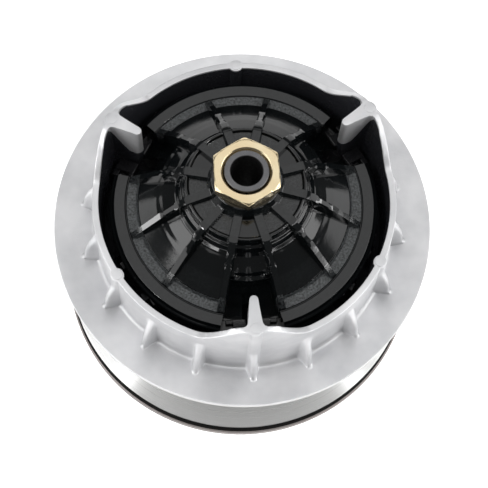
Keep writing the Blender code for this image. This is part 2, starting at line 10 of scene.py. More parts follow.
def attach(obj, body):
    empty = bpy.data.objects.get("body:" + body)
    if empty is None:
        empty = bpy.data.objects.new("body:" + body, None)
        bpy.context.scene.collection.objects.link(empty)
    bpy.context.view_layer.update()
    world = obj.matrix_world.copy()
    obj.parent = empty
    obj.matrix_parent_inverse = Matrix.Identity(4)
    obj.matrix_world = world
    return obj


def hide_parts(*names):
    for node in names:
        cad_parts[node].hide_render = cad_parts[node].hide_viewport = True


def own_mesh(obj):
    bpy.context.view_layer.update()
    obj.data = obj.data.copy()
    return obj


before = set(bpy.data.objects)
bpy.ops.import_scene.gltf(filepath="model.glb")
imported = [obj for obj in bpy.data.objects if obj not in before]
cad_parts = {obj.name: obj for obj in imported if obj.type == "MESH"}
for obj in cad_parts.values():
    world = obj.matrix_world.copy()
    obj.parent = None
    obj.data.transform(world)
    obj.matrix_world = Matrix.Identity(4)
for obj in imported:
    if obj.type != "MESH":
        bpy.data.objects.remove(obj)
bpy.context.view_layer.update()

# ---- fixed half ----------------------------------------------------------------------------------
# The cone that is pressed on the shaft: an aluminium die casting with six ribs on its back.
# The belt face is turned, which leaves fine rings and a fan-shaped shine. The groove in the rim is
# coloured black as painted shade, and the lip under it brownish grey as a painted reflection.
MM = 0.001
CONE_SLOPE = math.tan(math.radians(12.5))
CORNER_POINTS = 5                      # points that a rounded corner is made of


def rounded(corners, radius, steps=CORNER_POINTS - 3, closed=True):
    """Outline in millimetres with each corner replaced by a quadratic curve. The curve starts and ends
    one radius away along the two sides, or 0.3 of the shorter side where that is less. A spare point
    half a radius beyond each end keeps the flat flat, so a corner has steps + 3 points."""
    corners = np.array(corners, float)
    before = np.roll(corners, 1, axis=0) - corners
    after = np.roll(corners, -1, axis=0) - corners
    reach_before = np.linalg.norm(before, axis=1)
    reach_after = np.linalg.norm(after, axis=1)
    reach = np.minimum(np.broadcast_to(radius, len(corners)), 0.3 * np.minimum(reach_before, reach_after))
    start = corners + before / reach_before[:, None] * reach[:, None]
    end = corners + after / reach_after[:, None] * reach[:, None]
    early = corners + before / reach_before[:, None] * reach[:, None] * 1.5
    late = corners + after / reach_after[:, None] * reach[:, None] * 1.5
    share = np.linspace(0, 1, steps + 1)[None, :, None]
    curve = (1 - share) ** 2 * start[:, None] + 2 * share * (1 - share) * corners[:, None]
    curve = curve + share ** 2 * end[:, None]
    outline = np.concatenate([early[:, None], curve, late[:, None]], axis=1).reshape(-1, 2)
    if not closed:
        outline[:steps + 3] = corners[0]
        outline[-steps - 3:] = corners[-1]
    return outline


def corner_row(number, place=0, points=CORNER_POINTS):
    """Row of a rounded outline's corner: place 0 is the first of its points."""
    return number * points + place


def facing_out(points, quads):
    """The quads, all turned over if the volume they enclose, a sum of triple products, is negative."""
    a, b, c, d = (points[quads[:, corner]] for corner in range(4))
    volume = np.einsum("ij,ij->", a, np.cross(b, c) + np.cross(c, d))
    return quads[:, ::-1] if volume < 0 else quads


def patch(points, material=0, loop_rows=True, **fields):
    """One grid of points, rows x columns x 3 in metres, with a quad between each four neighbours.
    The last column joins the first, and so does the last row when asked. Material and fields are
    given for each row and column."""
    rows, columns = points.shape[:2]
    last_row = rows if loop_rows else rows - 1
    row, column = np.meshgrid(np.arange(last_row), np.arange(columns), indexing="ij")
    down = (row + 1) % rows
    right = (column + 1) % columns
    quads = np.stack([row * columns + column, row * columns + right,
                      down * columns + right, down * columns + column], axis=-1)
    flat = points.reshape(-1, 3)
    values = {key: np.broadcast_to(value, (rows, columns)).reshape(-1) for key, value in fields.items()}
    return {"points": flat, "quads": facing_out(flat, quads.reshape(-1, 4)),
            "painted": np.broadcast_to(material, (last_row, columns)).reshape(-1), "fields": values}


def piece(name, patches, materials, body, replaced, sharp=32):
    """One named object from its patches: points that coincide are merged, which closes every pole
    and seam, edges sharper than the given angle stay crisp, and it rides on its body."""
    counts = np.cumsum([0] + [len(p["points"]) for p in patches])
    mesh = bpy.data.meshes.new(name)
    quads = np.concatenate([p["quads"] + start for p, start in zip(patches, counts)])
    mesh.from_pydata(np.concatenate([p["points"] for p in patches]).tolist(), [], quads.tolist())
    painted = np.concatenate([p["painted"] for p in patches]).astype(np.int32)
    mesh.polygons.foreach_set("material_index", painted)
    for key in sorted({key for p in patches for key in p["fields"]}):
        attribute = mesh.attributes.new(key, "FLOAT", "POINT")
        values = [p["fields"].get(key, np.zeros(len(p["points"]))) for p in patches]
        attribute.data.foreach_set("value", np.concatenate(values).astype(np.float32))
    whole = bmesh.new()
    whole.from_mesh(mesh)
    bmesh.ops.remove_doubles(whole, verts=whole.verts, dist=2e-7)
    bmesh.ops.delete(whole, geom=[v for v in whole.verts if not v.link_faces], context="VERTS")
    whole.to_mesh(mesh)
    whole.free()
    mesh.shade_smooth()
    mesh.set_sharp_from_angle(angle=math.radians(sharp))
    for material in materials:
        mesh.materials.append(material)
    thing = bpy.data.objects.new(name, mesh)
    bpy.context.scene.collection.objects.link(thing)
    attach(thing, body)
    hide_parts(*replaced)
    return thing


def round_grid(radius, height, angle):
    """Points at radius and height, in millimetres, and angle round the pulley's axis."""
    radius, height, angle = np.broadcast_arrays(radius, height, angle)
    return np.stack([radius * np.cos(angle), radius * np.sin(angle), height], axis=-1) * MM


def lathe(corners, radius=0.4, segments=128, **options):
    """A turned part: its outline, corners in (radius, height), carried once round the axis."""
    outline = rounded(corners, radius)
    angle = np.linspace(0, math.tau, segments, endpoint=False)
    return patch(round_grid(outline[:, :1], outline[:, 1:], angle[None]), **options)


def step(value, low, high):
    """0 below low, 1 above high, and the smooth cubic 3t^2 - 2t^3 between them."""
    share = np.clip((value - low) / (high - low), 0, 1)
    return share * share * (3 - 2 * share)


def add_node(tree, kind, sockets=None, **settings):
    """One shader node. A socket's entry is a number, a colour, or another node's output to link."""
    made = tree.nodes.new(kind)
    for key, value in settings.items():
        setattr(made, key, value)
    for key, value in (sockets or {}).items():
        if isinstance(value, bpy.types.NodeSocket):
            tree.links.new(value, made.inputs[key])
        else:
            made.inputs[key].default_value = value
    return made


def new_material(name, metallic, sockets=None):
    """A material with its shader, and the object's own coordinates to read."""
    material = bpy.data.materials.new(name)
    material.use_nodes = True
    tree = material.node_tree
    shader = tree.nodes["Principled BSDF"]
    shader.inputs["Metallic"].default_value = metallic
    for key, value in (sockets or {}).items():
        shader.inputs[key].default_value = value
    place = add_node(tree, "ShaderNodeTexCoord").outputs["Object"]
    return material, tree, shader, place


def noise(tree, place, scale, detail=3.0, roughness=0.55):
    """Cloudy noise from 0 to 1; scale is its number of clouds in a metre."""
    sockets = {"Vector": place, "Scale": scale, "Detail": detail, "Roughness": roughness}
    return add_node(tree, "ShaderNodeTexNoise", sockets).outputs["Fac"]


def spread(tree, value, low, high, from_low=0.3, from_high=0.7):
    """A value stretched from one range to another."""
    sockets = {"Value": value, "From Min": from_low, "From Max": from_high, "To Min": low, "To Max": high}
    return add_node(tree, "ShaderNodeMapRange", sockets).outputs["Result"]


def blended(tree, share, first, second):
    """Colour that goes from the first to the second as share goes from 0 to 1."""
    made = add_node(tree, "ShaderNodeMix", data_type="RGBA")
    ends = {"Factor_Float": share, "A_Color": first, "B_Color": second}
    for socket in made.inputs:
        value = ends.get(socket.identifier)
        if isinstance(value, bpy.types.NodeSocket):
            tree.links.new(value, socket)
        elif value is not None:
            socket.default_value = value
    return next(socket for socket in made.outputs if socket.identifier == "Result_Color")


def added(tree, first, second, operation="ADD"):
    """The sum of two values, or another arithmetic operation on them."""
    return add_node(tree, "ShaderNodeMath", {0: first, 1: second}, operation=operation).outputs[0]


def raised(tree, shader, height, depth, strength=1.0):
    """Bump on the shader, as deep as the given millimetres."""
    sockets = {"Height": height, "Distance": depth * MM, "Strength": strength}
    tree.links.new(add_node(tree, "ShaderNodeBump", sockets).outputs["Normal"], shader.inputs["Normal"])


def from_axis(tree, place):
    """The place with its height taken away: the way straight out from the pulley's axis."""
    flat = add_node(tree, "ShaderNodeVectorMath", {0: place, 1: (1, 1, 0)}, operation="MULTIPLY")
    return flat.outputs["Vector"]


def turning_marks(tree, place, rings):
    """Fine rings left by the turning tool: noise read along the distance from the axis, with this
    many rings in a metre."""
    outwards = from_axis(tree, place)
    radius = add_node(tree, "ShaderNodeVectorMath", {0: outwards}, operation="LENGTH").outputs["Value"]
    sockets = {"W": added(tree, radius, rings, "MULTIPLY"), "Scale": 1.0, "Detail": 4.0, "Roughness": 0.7}
    return add_node(tree, "ShaderNodeTexNoise", sockets, noise_dimensions="1D").outputs["Fac"]


def turned_face(tree, place, shader):
    """Rings round the axis spread a reflection straight outwards, so the shader's direction is the
    way out from the axis, at length one."""
    unit = add_node(tree, "ShaderNodeVectorMath", {0: from_axis(tree, place)}, operation="NORMALIZE")
    tree.links.new(unit.outputs["Vector"], shader.inputs["Tangent"])


def plain_finish(name, metallic, tones, shine, skin, sockets=None):
    """A finish of three patterns. Tones is (clouds in a metre, dark colour, light colour), shine is
    (clouds in a metre, lowest roughness, highest roughness), and skin is the pattern of its bumps, noise
    or turning_marks, with its number in a metre, its depth in millimetres and its strength."""
    material, tree, shader, place = new_material(name, metallic, sockets)
    clouds, dark, light = tones
    tree.links.new(blended(tree, noise(tree, place, clouds), dark, light), shader.inputs["Base Color"])
    clouds, low, high = shine
    tree.links.new(spread(tree, noise(tree, place, clouds), low, high), shader.inputs["Roughness"])
    pattern, number, depth, strength = skin
    raised(tree, shader, pattern(tree, place, number), depth, strength)
    return material


CAST_METALLIC = 0.6                    # tumbling leaves the castings duller than bare metal
CAST_DARK = (0.60, 0.604, 0.618, 1)
CAST_LIGHT = (0.75, 0.75, 0.76, 1)


def cast_tone(tree, place):
    """Tumbled die casting: dark and light clouds about two centimetres across."""
    clouds = spread(tree, noise(tree, place, 42, 3, 0.6), 0, 1, 0.32, 0.68)
    return blended(tree, clouds, CAST_DARK, CAST_LIGHT)


def cast_roughness(tree, place):
    """Roughness of the tumbled casting, in clouds of its own."""
    return spread(tree, noise(tree, place, 60), 0.36, 0.5)


def sandy_skin(tree, place, shader):
    """The fine sandy skin that every casting has, bare or painted."""
    raised(tree, shader, noise(tree, place, 900, 4, 0.65), 0.09, 0.7)


cast_aluminium, tree, shader, place = new_material("cast_aluminium", CAST_METALLIC)
tree.links.new(cast_tone(tree, place), shader.inputs["Base Color"])
tree.links.new(cast_roughness(tree, place), shader.inputs["Roughness"])
sandy_skin(tree, place, shader)

machined, tree, shader, place = new_material("machined_aluminium", 1.0, {"Anisotropic": 0.93})
marks = turning_marks(tree, place, 1500)
machined_tone = blended(tree, spread(tree, marks, 0, 1), (0.54, 0.54, 0.54, 1), (0.62, 0.62, 0.61, 1))
tree.links.new(machined_tone, shader.inputs["Base Color"])
tree.links.new(spread(tree, marks, 0.27, 0.33), shader.inputs["Roughness"])
turned_face(tree, place, shader)
raised(tree, shader, marks, 0.02, 0.5)

# painted shade: the rim's groove is coloured near black, with little shine, where shade falls in it
groove_painted_shade = plain_finish(
    "groove_painted_shade", 0.0, (400, (0.002, 0.002, 0.002, 1), (0.006, 0.0055, 0.005, 1)),
    (700, 0.5, 0.65), (turning_marks, 2500, 0.01, 0.4), {"Specular IOR Level": 0.15})
# painted reflection: the lip's brownish grey stands in for what the bare metal reflects
lip_painted_reflection = plain_finish(
    "lip_painted_reflection", 0.7, (300, (0.24, 0.215, 0.205, 1), (0.32, 0.29, 0.28, 1)),
    (500, 0.4, 0.55), (noise, 1200, 0.03, 0.5))


def sector_angles(radius, sectors, first, near, fractions):
    """Angles of the columns of one row in radians: lines a fixed way beside each sector's middle, then
    lines at fixed shares of what is left. A line at side distance s has angle asin(s / radius)."""
    radius = np.atleast_1d(radius)[:, None]
    half = math.pi / sectors
    beside = np.arcsin(np.clip(np.array(near)[None] / radius, 0, 0.9))
    rest = beside[:, -1:] + (half - beside[:, -1:]) * np.array(fractions)[None]
    right = np.concatenate([beside, rest], axis=1)
    one = np.concatenate([-np.full_like(radius, half), -right[:, :0:-1], right], axis=1)
    middles = math.radians(first) + 2 * half * np.arange(sectors)
    return (one[:, None, :] + middles[None, :, None]).reshape(len(radius), -1)


BACK_RIBS = 6
RIB_FLOOR = 2.5                        # lower edge of the back ribs, mm above the rim's foot
MACHINED, CAST, GROOVE, LIP = range(4)
# corners 0 to 5 go down the rim past its groove, 6 to 12 in across the back, and the rest up the
# bore and out over the belt face
fixed_outline = rounded([
    (93.5, 11), (92.3, 10.3), (92.3, 5.6), (94.2, 5.0), (95, 4.8), (95, 0), (90, 0), (89, 7), (88, 8.2),
    (60, 14.4), (30.6, 20.9), (30, 20.3), (28, 2.5), (27.9, 1), (19.3, 1), (19.3, 25.7), (26, 26),
    (30, 11 + 63.5 * CONE_SLOPE), (60, 11 + 33.5 * CONE_SLOPE),
], 0.5)
near_rib = (0, 1.2, 1.5, 1.75, 2.1, 2.7)
fixed_angle = sector_angles(fixed_outline[:, 0], BACK_RIBS, 0, near_rib, np.arange(1, 14) / 14)
ribs_round = fixed_angle * BACK_RIBS / math.tau
beside_rib = np.abs((ribs_round + 0.5) % 1 - 0.5) * math.tau / BACK_RIBS * fixed_outline[:, :1]
fixed_row = np.arange(len(fixed_outline))[:, None]
on_back = (fixed_row >= corner_row(6)) & (fixed_row < corner_row(12, 4))
rib_share = (1 - step(beside_rib, 1.45, 2.3)) * on_back
fixed_height = fixed_outline[:, 1:] - rib_share * np.maximum(fixed_outline[:, 1:] - RIB_FLOOR, 0)
fixed_finish = np.where(on_back, CAST, MACHINED)
# the groove's rows take the painted shade, and the lip's rows the painted reflection
fixed_finish[corner_row(0, 4):corner_row(3, 2)] = GROOVE
fixed_finish[corner_row(3, 2):corner_row(5, 2)] = LIP
fixed_points = round_grid(fixed_outline[:, :1], fixed_height, fixed_angle)
piece("fixed_cone", [patch(fixed_points, fixed_finish)],
      [machined, cast_aluminium, groove_painted_shade, lip_painted_reflection],
      "shaft_assembly", ["fixed_half"])

# ---- hollow shaft --------------------------------------------------------------------------------
# Ground steel, pressed through the fixed half, with a taper for the crankshaft in its foot,
# a bore for the long bolt, a seat for the governor cup and a thread for the clamp nut.
ground_steel = plain_finish(
    "ground_steel", 1.0, (220, (0.11, 0.11, 0.115, 1), (0.17, 0.17, 0.175, 1)),
    (700, 0.24, 0.38), (turning_marks, 2500, 0.01, 0.4))
# painted shade: the bolt's bore is coloured nearly black for the shade deep inside the hollow shaft
bore_painted_shade = plain_finish(
    "bore_painted_shade", 0.3, (220, (0.004, 0.004, 0.004, 1), (0.01, 0.01, 0.01, 1)),
    (700, 0.5, 0.7), (turning_marks, 2500, 0.01, 0.4))

# the last three corners are the top of the taper and the two ends of the bolt's bore
shaft_corners = [
    (10.1, 136.4), (10.4, 136.1), (10.4, 128.5), (12.5, 128.1), (12.5, 117.7), (15, 117.7), (15, 26),
    (19, 25.6), (19, 0.4), (14.4, 0.4), (11.4, 46), (7.4, 49), (7.4, 136.4),
]
shaft_finish = np.zeros((corner_row(len(shaft_corners)), 1), int)
# the bore's rows take the painted shade
shaft_finish[corner_row(10, 2):corner_row(12, 3)] = 1
piece("hollow_shaft", [lathe(shaft_corners, 0.35, 96, material=shaft_finish)],
      [ground_steel, bore_painted_shade], "shaft_assembly", ["drive_shaft"])

# ---- idler tube, its washer and bearing ----------------------------------------------------------
# The slack belt rests on this hardened tube, which turns on a bronze one-way bearing.
# A thrust washer keeps it off the fixed half.
dark_steel = plain_finish(
    "dark_steel", 1.0, (160, (0.13, 0.13, 0.14, 1), (0.24, 0.24, 0.25, 1)),
    (500, 0.3, 0.45), (noise, 1300, 0.02, 0.4))
bronze = plain_finish(
    "bronze", 1.0, (300, (0.42, 0.27, 0.12, 1), (0.6, 0.42, 0.2, 1)),
    (600, 0.3, 0.45), (turning_marks, 2500, 0.01, 0.4))

piece("thrust_washer", [lathe([(15.3, 26.3), (24, 26.3), (24, 27.8), (15.3, 27.8)], 0.3, 96)],
      [dark_steel], "shaft_assembly", ["idler_washer"])
piece("one_way_bearing", [lathe([(15.3, 28.1), (19.6, 28.1), (19.6, 51.9), (15.3, 51.9)], 0.4, 96)],
      [bronze], "shaft_assembly", ["idler_bearing"])
piece("idler_tube", [lathe([(20, 28.1), (24, 28.1), (24, 29.2), (23.8, 29.4), (23.8, 50.6), (24, 50.8),
                            (24, 51.9), (20, 51.9)], 0.3, 96)],
      [ground_steel], "idler", ["idler_sleeve"])

# ---- spring seat and return spring ---------------------------------------------------------------
# A collar on the shaft carries the spring that opens the belt groove when the engine slows.
# The spring is oiled spring wire, wound cold, with its end turns laid almost closed.
piece("spring_collar", [lathe([(15.3, 52.2), (24, 52.2), (24, 54.0), (15.3, 54.0)], 0.35, 96)],
      [dark_steel], "shaft_assembly", ["spring_seat"])

spring_steel = plain_finish(
    "spring_steel", 0.9, (240, (0.06, 0.07, 0.10, 1), (0.13, 0.14, 0.17, 1)),
    (800, 0.28, 0.5), (noise, 1500, 0.03, 0.4))


def swept(centre, along, side, section, **options):
    """A section, points across (side, up), carried along a line. Up is the cross product of side and
    the line's direction, and both ends are closed by drawing the section together to its middle."""
    up = np.cross(side, along)
    section = np.array(section, float)
    grid = centre[:, None] + side[:, None] * section[None, :, :1] + up[:, None] * section[None, :, 1:]
    middles = grid.mean(axis=1, keepdims=True)
    small = middles + (grid - middles) * 0.85
    closed = [np.broadcast_to(middles[:1], grid[:1].shape), small[:1], grid, small[-1:],
              np.broadcast_to(middles[-1:], grid[-1:].shape)]
    return patch(np.concatenate(closed), loop_rows=False, **options)


SPRING_TURNS = 5.5
SPRING_R = 20.0
WIRE_R = 2.0
CLOSED_PITCH = 4.35
SPRING_LOW = 54.3
SPRING_HIGH = 101.7
OPEN_PITCH = (SPRING_HIGH - SPRING_LOW - 2 * WIRE_R - 2 * CLOSED_PITCH) / (SPRING_TURNS - 2)
STEPS_IN_TURN = 80
turns = np.arange(SPRING_TURNS * STEPS_IN_TURN + 1) / STEPS_IN_TURN
climb = CLOSED_PITCH * np.minimum(turns, 1) + OPEN_PITCH * np.clip(turns - 1, 0, SPRING_TURNS - 2)
climb = climb + CLOSED_PITCH * np.maximum(turns - SPRING_TURNS + 1, 0)
# the pitch opens over a quarter turn: each height becomes the mean of the ten before and after it
climb[10:-10] = np.convolve(climb, np.ones(21) / 21, "valid")
wire = round_grid(SPRING_R, SPRING_LOW + WIRE_R + climb, turns * math.tau)
along = np.gradient(wire, axis=0)
along = along / np.linalg.norm(along, axis=1, keepdims=True)
outwards = wire * (1, 1, 0) / (SPRING_R * MM)
ring = np.linspace(0, math.tau, 20, endpoint=False)
round_wire = np.stack([np.cos(ring), np.sin(ring)], axis=-1) * WIRE_R * MM * 0.99
spring = piece("coil_spring", [swept(wire, along, outwards, round_wire)],
               [spring_steel], "shaft_assembly", ["return_spring"])
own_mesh(spring)

# ---- sliding half --------------------------------------------------------------------------------
# One die casting: the second belt cone, and the deep bowl behind it with eighteen gussets outside,
# six bosses in its rim, three guide fins and the ears for the levers. The inside is painted black,
# the outside is tumbled, and the belt face and the bores are turned.
SECTORS = 18
SECTOR = math.tau / SECTORS
WALL_IN = 70.2
SLIDE_EDGE_R = 95.0
SLIDE_EDGE_Z = 74.0
RIM_LOW = 104.0
RIM_HIGH = 123.5
TOWER_TOP = 3                          # degrees from a fin at which the rim starts to fall
TOWER_FOOT = 22.5                      # and at which it has come down to its low part
FIRST_FIN = math.radians(-90)


def flange_z(radius):
    """Height of the flange's upper face and of the bowl's floor: a shallow dish."""
    return SLIDE_EDGE_Z - (SLIDE_EDGE_R - radius) * CONE_SLOPE


def wall_outer(height):
    """Outer radius of the bowl's wall, which leans in by 1.2 mm over its height for the mould."""
    return 74.0 - 1.2 * (height - 69.0) / 54.5


# Columns stand at fixed side distances from each gusset's middle, and one more halfway to the last
# gusset. The distances are true at a radius of 76.2 mm.
beside = np.array([0, 0.5, 0.95, 1.25, 1.5, 1.75, 2.1, 2.6, 3.3, 4.3, 5.6, 7.3, 9.2, 11.2])
HALFWAY = -13.3
lateral = np.concatenate([[HALFWAY], -beside[:0:-1], beside])
sector_index = np.repeat(np.arange(SECTORS), len(lateral))
aside = np.tile(lateral, SECTORS)
turn = FIRST_FIN + sector_index * SECTOR + aside / 76.2
turn = np.where(aside == HALFWAY, FIRST_FIN + (sector_index - 0.5) * SECTOR, turn)
on_fin = (sector_index % 6 == 0) & (aside != HALFWAY)
at_boss = sector_index % 3 == 0
from_fin = np.abs((np.degrees(turn) + 90 + 60) % 120 - 60)
rim = RIM_HIGH - (RIM_HIGH - RIM_LOW) * step(from_fin, TOWER_TOP, TOWER_FOOT)
# a gusset's crest, exp(-(side / 2.4)^3.6), and a boss's half circle of radius 2.9, both 1 in the middle
gusset = np.exp(-(np.abs(aside) / 2.4) ** 3.6)
boss = np.sqrt(np.clip(1 - (aside / 2.9) ** 2, 0, 1)) * at_boss

# outline of a fin seen from above, from its tip to the wall: (distance from the axis, side distance)
fin_r = np.array([55.3, 55.45, 55.9, 56.6, 57.5, 58.6, 61.5, 65.0, 68.3, 69.6, 70.0, 69.85, 69.6, 69.3])
fin_y = np.array([0, 0.8, 1.45, 1.85, 2.05, 2.12, 2.45, 2.85, 3.35, 4.2, 5.6, 7.4, 9.2, 11.2])
fin_x = np.interp(np.abs(aside), beside, fin_r)
fin_side = np.interp(np.abs(aside), beside, fin_y) * np.sign(aside)


def inner_place(height):
    """Radius and angle of the inner wall at a height: the wall's circle, and at the three fins their
    outline, whose tip draws back towards the wall below 100 mm. The other bosses bulge inwards."""
    drawn = 1 - 0.45 * step(100 - height, 0, 34)
    along_x = WALL_IN - (WALL_IN - fin_x) * drawn
    fin_turn = FIRST_FIN + sector_index * SECTOR + np.arctan2(fin_side, along_x)
    bulge = np.where(sector_index % 6 == 0, 0, boss) * 1.6
    radius = np.where(on_fin, np.hypot(along_x, fin_side), WALL_IN - bulge)
    return radius, np.where(on_fin, fin_turn, turn)


slide_rows = []                        # (radius, height, angle, paint, machining) of each row of columns


def add_row(radius, height, angle=turn, paint=-2.0, machining=0.0):
    """One row all round: paint is millimetres past the edge of the black, and machining 1 is turned."""
    values = (radius, height, angle, paint, machining)
    slide_rows.append([np.broadcast_to(value, turn.shape).astype(float) for value in values])


# the flange, from its edge in to the gussets' feet
FLANGE_EDGE = 93.4
GUSSET_FILLET = 2.0
gusset_reach = 7.0 * gusset
foot = 74.0 + gusset_reach
fillet_low = flange_z(foot + GUSSET_FILLET)
for radius, height in ((95, 73.0), (94.95, 73.5), (94.7, 73.9), (94.2, flange_z(94.2)),
                       (FLANGE_EDGE, flange_z(FLANGE_EDGE))):
    add_row(radius, height)
for share in (0.2, 0.4, 0.6, 0.75, 0.86, 0.94):
    radius = FLANGE_EDGE + (foot + GUSSET_FILLET + 0.1 - FLANGE_EDGE) * share
    add_row(radius, flange_z(radius))
for share in (0.0, 0.25, 0.5, 0.75, 1.0):
    bend = share * math.pi / 2
    add_row(foot + GUSSET_FILLET * (1 - math.sin(bend)), fillet_low + GUSSET_FILLET * (1 - math.cos(bend)))

# up the wall: a gusset's back curves in as 1 - share^1.9 and ends 25 mm above the flange, while
# the bosses come out with the height
gusset_low = fillet_low + GUSSET_FILLET
gusset_top = flange_z(75.5) + 25.0
BOSS_OUT = 1.5
for share in (0.12, 0.25, 0.4, 0.55, 0.7, 0.82, 0.92, 1.0):
    height = gusset_low + (gusset_top - gusset_low) * share
    ridge = gusset_reach * (1 - share ** 1.9)
    add_row(wall_outer(height) + np.maximum(ridge, boss * BOSS_OUT * share), height)
for share in (0.15, 0.35, 0.6, 0.85, 0.97):
    height = gusset_top + (rim - 0.6 - gusset_top) * share
    add_row(wall_outer(height) + boss * BOSS_OUT, height)

# over the rim, whose flat top runs from its outer edge to its inner edge in straight lines
outer_rim = wall_outer(rim) + boss * BOSS_OUT
inner_rim, inner_angle = inner_place(RIM_HIGH)
outer_flat = outer_rim - 0.35
inner_flat = inner_rim + 0.3
add_row(outer_rim, rim - 0.3)
add_row(outer_rim - 0.12, rim - 0.08)
add_row(outer_flat, rim)


def straight_between(first, second, share):
    """Radius and angle of the point at a share of the straight way between two, each (radius, angle)."""
    (r0, a0), (r1, a1) = first, second
    x = r0 * np.cos(a0) + (r1 * np.cos(a1) - r0 * np.cos(a0)) * share
    y = r0 * np.sin(a0) + (r1 * np.sin(a1) - r0 * np.sin(a0)) * share
    return np.hypot(x, y), np.arctan2(y, x)


for share in (0.2, 0.5, 0.8, 1.0):
    radius, angle = straight_between((outer_flat, turn), (inner_flat, inner_angle), share)
    add_row(radius, rim, angle)
add_row(inner_rim + 0.1, rim - 0.08, inner_angle)
add_row(inner_rim, rim - 0.3, inner_angle)

# down inside: the black paint ends under the rim, along a line that climbs the fins from their tips
edge_r = np.array([55.0, 56.8, 58.8, 60.8, 63.7, 66.0, 68.3, 70.0])
edge_z = np.array([103.2, 102.4, 100.9, 100.6, 104.2, 109.1, 114.0, 118.6])
rim_line = rim - 0.5
fin_line = np.interp(fin_x, edge_r, edge_z)
fin_line = fin_line + (rim_line - fin_line) * step(np.abs(aside), 3.3, 7.0)
paint_line = np.where(on_fin, fin_line, rim_line)
BOWL_FILLET = 2.5
fillet_top = flange_z(WALL_IN) + BOWL_FILLET
for share in (0.03, 0.08, 0.14, 0.2, 0.27, 0.34, 0.41, 0.48, 0.55, 0.62, 0.7, 0.8, 0.9, 0.97):
    height = rim - 0.3 + (fillet_top - rim + 0.3) * share
    radius, angle = inner_place(height)
    add_row(radius, height, angle, paint_line - height)
for share in (0.35, 0.75, 1.0):
    bend = share * math.pi / 2
    height = fillet_top - 2.3 * math.sin(bend)
    radius, angle = inner_place(height)
    add_row(radius - BOWL_FILLET * (1 - math.cos(bend)), height, angle, 5.0)

# across the bowl's floor to where it is round again, then down the hub, its bores and the belt face
ROUND_FLOOR = 46
fillet_foot = (radius - BOWL_FILLET, angle)
for share in (0.15, 0.35, 0.6, 0.8, 1.0):
    radius, angle = straight_between(fillet_foot, (ROUND_FLOOR, turn), share)
    add_row(radius, flange_z(radius), angle, 5.0)
hub = rounded([(40, flange_z(40)), (32.6, 60.5), (30.5, 62.7), (29.5, 78), (26.1, 83), (26.1, 106),
               (21, 113), (18, 113), (18, 102), (23, 102), (23, 82), (25.2, 80), (25.2, 55.4),
               (26.2, 54.6), (40, 70 - 55 * CONE_SLOPE), (68, 70 - 27 * CONE_SLOPE), (95, 70),
               (95, 72)], 0.5)
for row, (radius, height) in enumerate(hub[2:-3], 2):
    painted = row < corner_row(7, 1)
    add_row(radius, height, paint=5.0 if painted else -2.0, machining=0.0 if painted else 1.0)

slide_data = np.array(slide_rows)
slide_points = round_grid(slide_data[:, 0], slide_data[:, 1], slide_data[:, 2])
slide_finish = (slide_data[:, 4] > 0.5).astype(int)


def mesh_value(tree, name):
    """A value that the mesh carries at each of its points."""
    value = add_node(tree, "ShaderNodeAttribute", attribute_name=name, attribute_type="GEOMETRY")
    return value.outputs["Fac"]


painted_casting, tree, shader, place = new_material("painted_casting", 1.0)
ragged = added(tree, mesh_value(tree, "paint"), added(tree, noise(tree, place, 600), 0.3, "MULTIPLY"))
coated = spread(tree, ragged, 0, 1, 0.06, 0.24)
painted_tone = blended(tree, coated, cast_tone(tree, place), (0.028, 0.029, 0.034, 1))
tree.links.new(painted_tone, shader.inputs["Base Color"])
bare = added(tree, 1.0, coated, "SUBTRACT")
tree.links.new(added(tree, bare, CAST_METALLIC, "MULTIPLY"), shader.inputs["Metallic"])
smoothing = added(tree, coated, 0.18, "MULTIPLY")
tree.links.new(added(tree, cast_roughness(tree, place), smoothing, "SUBTRACT"), shader.inputs["Roughness"])
sandy_skin(tree, place, shader)


def spoke(points, degrees):
    """Points given as (outwards, aside, up) in millimetres, turned round the axis to an angle."""
    turned = Matrix.Rotation(math.radians(degrees), 3, "Z")
    return np.asarray(points) @ np.array(turned).T * MM


def reach_of(angle, discs, sides=()):
    """Distance from an outline's middle to its edge in each direction: the farthest of its discs,
    (x, y, radius) with the middle inside each, and of the area that its straight sides bound, as
    (direction of the side's normal in degrees, distance)."""
    direction = np.stack([np.cos(angle), np.sin(angle)])
    found = np.zeros_like(angle)
    for x, y, radius in discs:
        along = direction[0] * x + direction[1] * y
        inside = radius ** 2 - (x * x + y * y) + along ** 2
        found = np.maximum(found, np.where(inside > 0, along + np.sqrt(np.maximum(inside, 0)), 0))
    if len(sides):
        facing = [np.cos(angle - math.radians(normal)) / distance for normal, distance in sides]
        found = np.maximum(found, 1 / np.maximum(np.max(facing, axis=0), 1e-3))
    return found


def holed_plate(outline_reach, angle, hole, low, high, middle, degrees, edge=0.35, **options):
    """A flat cheek with rounded edges round a hole: rows go from the hole's edge out across one face,
    over the rim and back across the other. Low and high are its faces' side distances."""
    # an edge's rows: (distance from the edge, depth below the face)
    easing = [(edge * 2, 0), (edge, 0), (edge * 0.3, edge * 0.3), (0, edge)]
    reach = [hole + inset for inset, depth in easing[::-1]]
    reach += [outline_reach - inset for inset, depth in easing + easing[::-1]]
    reach += [hole + inset for inset, depth in easing]
    sides = [low + depth for inset, depth in easing[::-1] + easing]
    sides += [high - depth for inset, depth in easing[::-1] + easing]
    reach = np.array([np.broadcast_to(distance, angle.shape) for distance in reach])
    x = middle[0] + reach * np.cos(angle)
    z = middle[1] + reach * np.sin(angle)
    side = np.broadcast_to(np.array(sides)[:, None], x.shape)
    return patch(spoke(np.stack([x, side, z], axis=-1), degrees), **options)


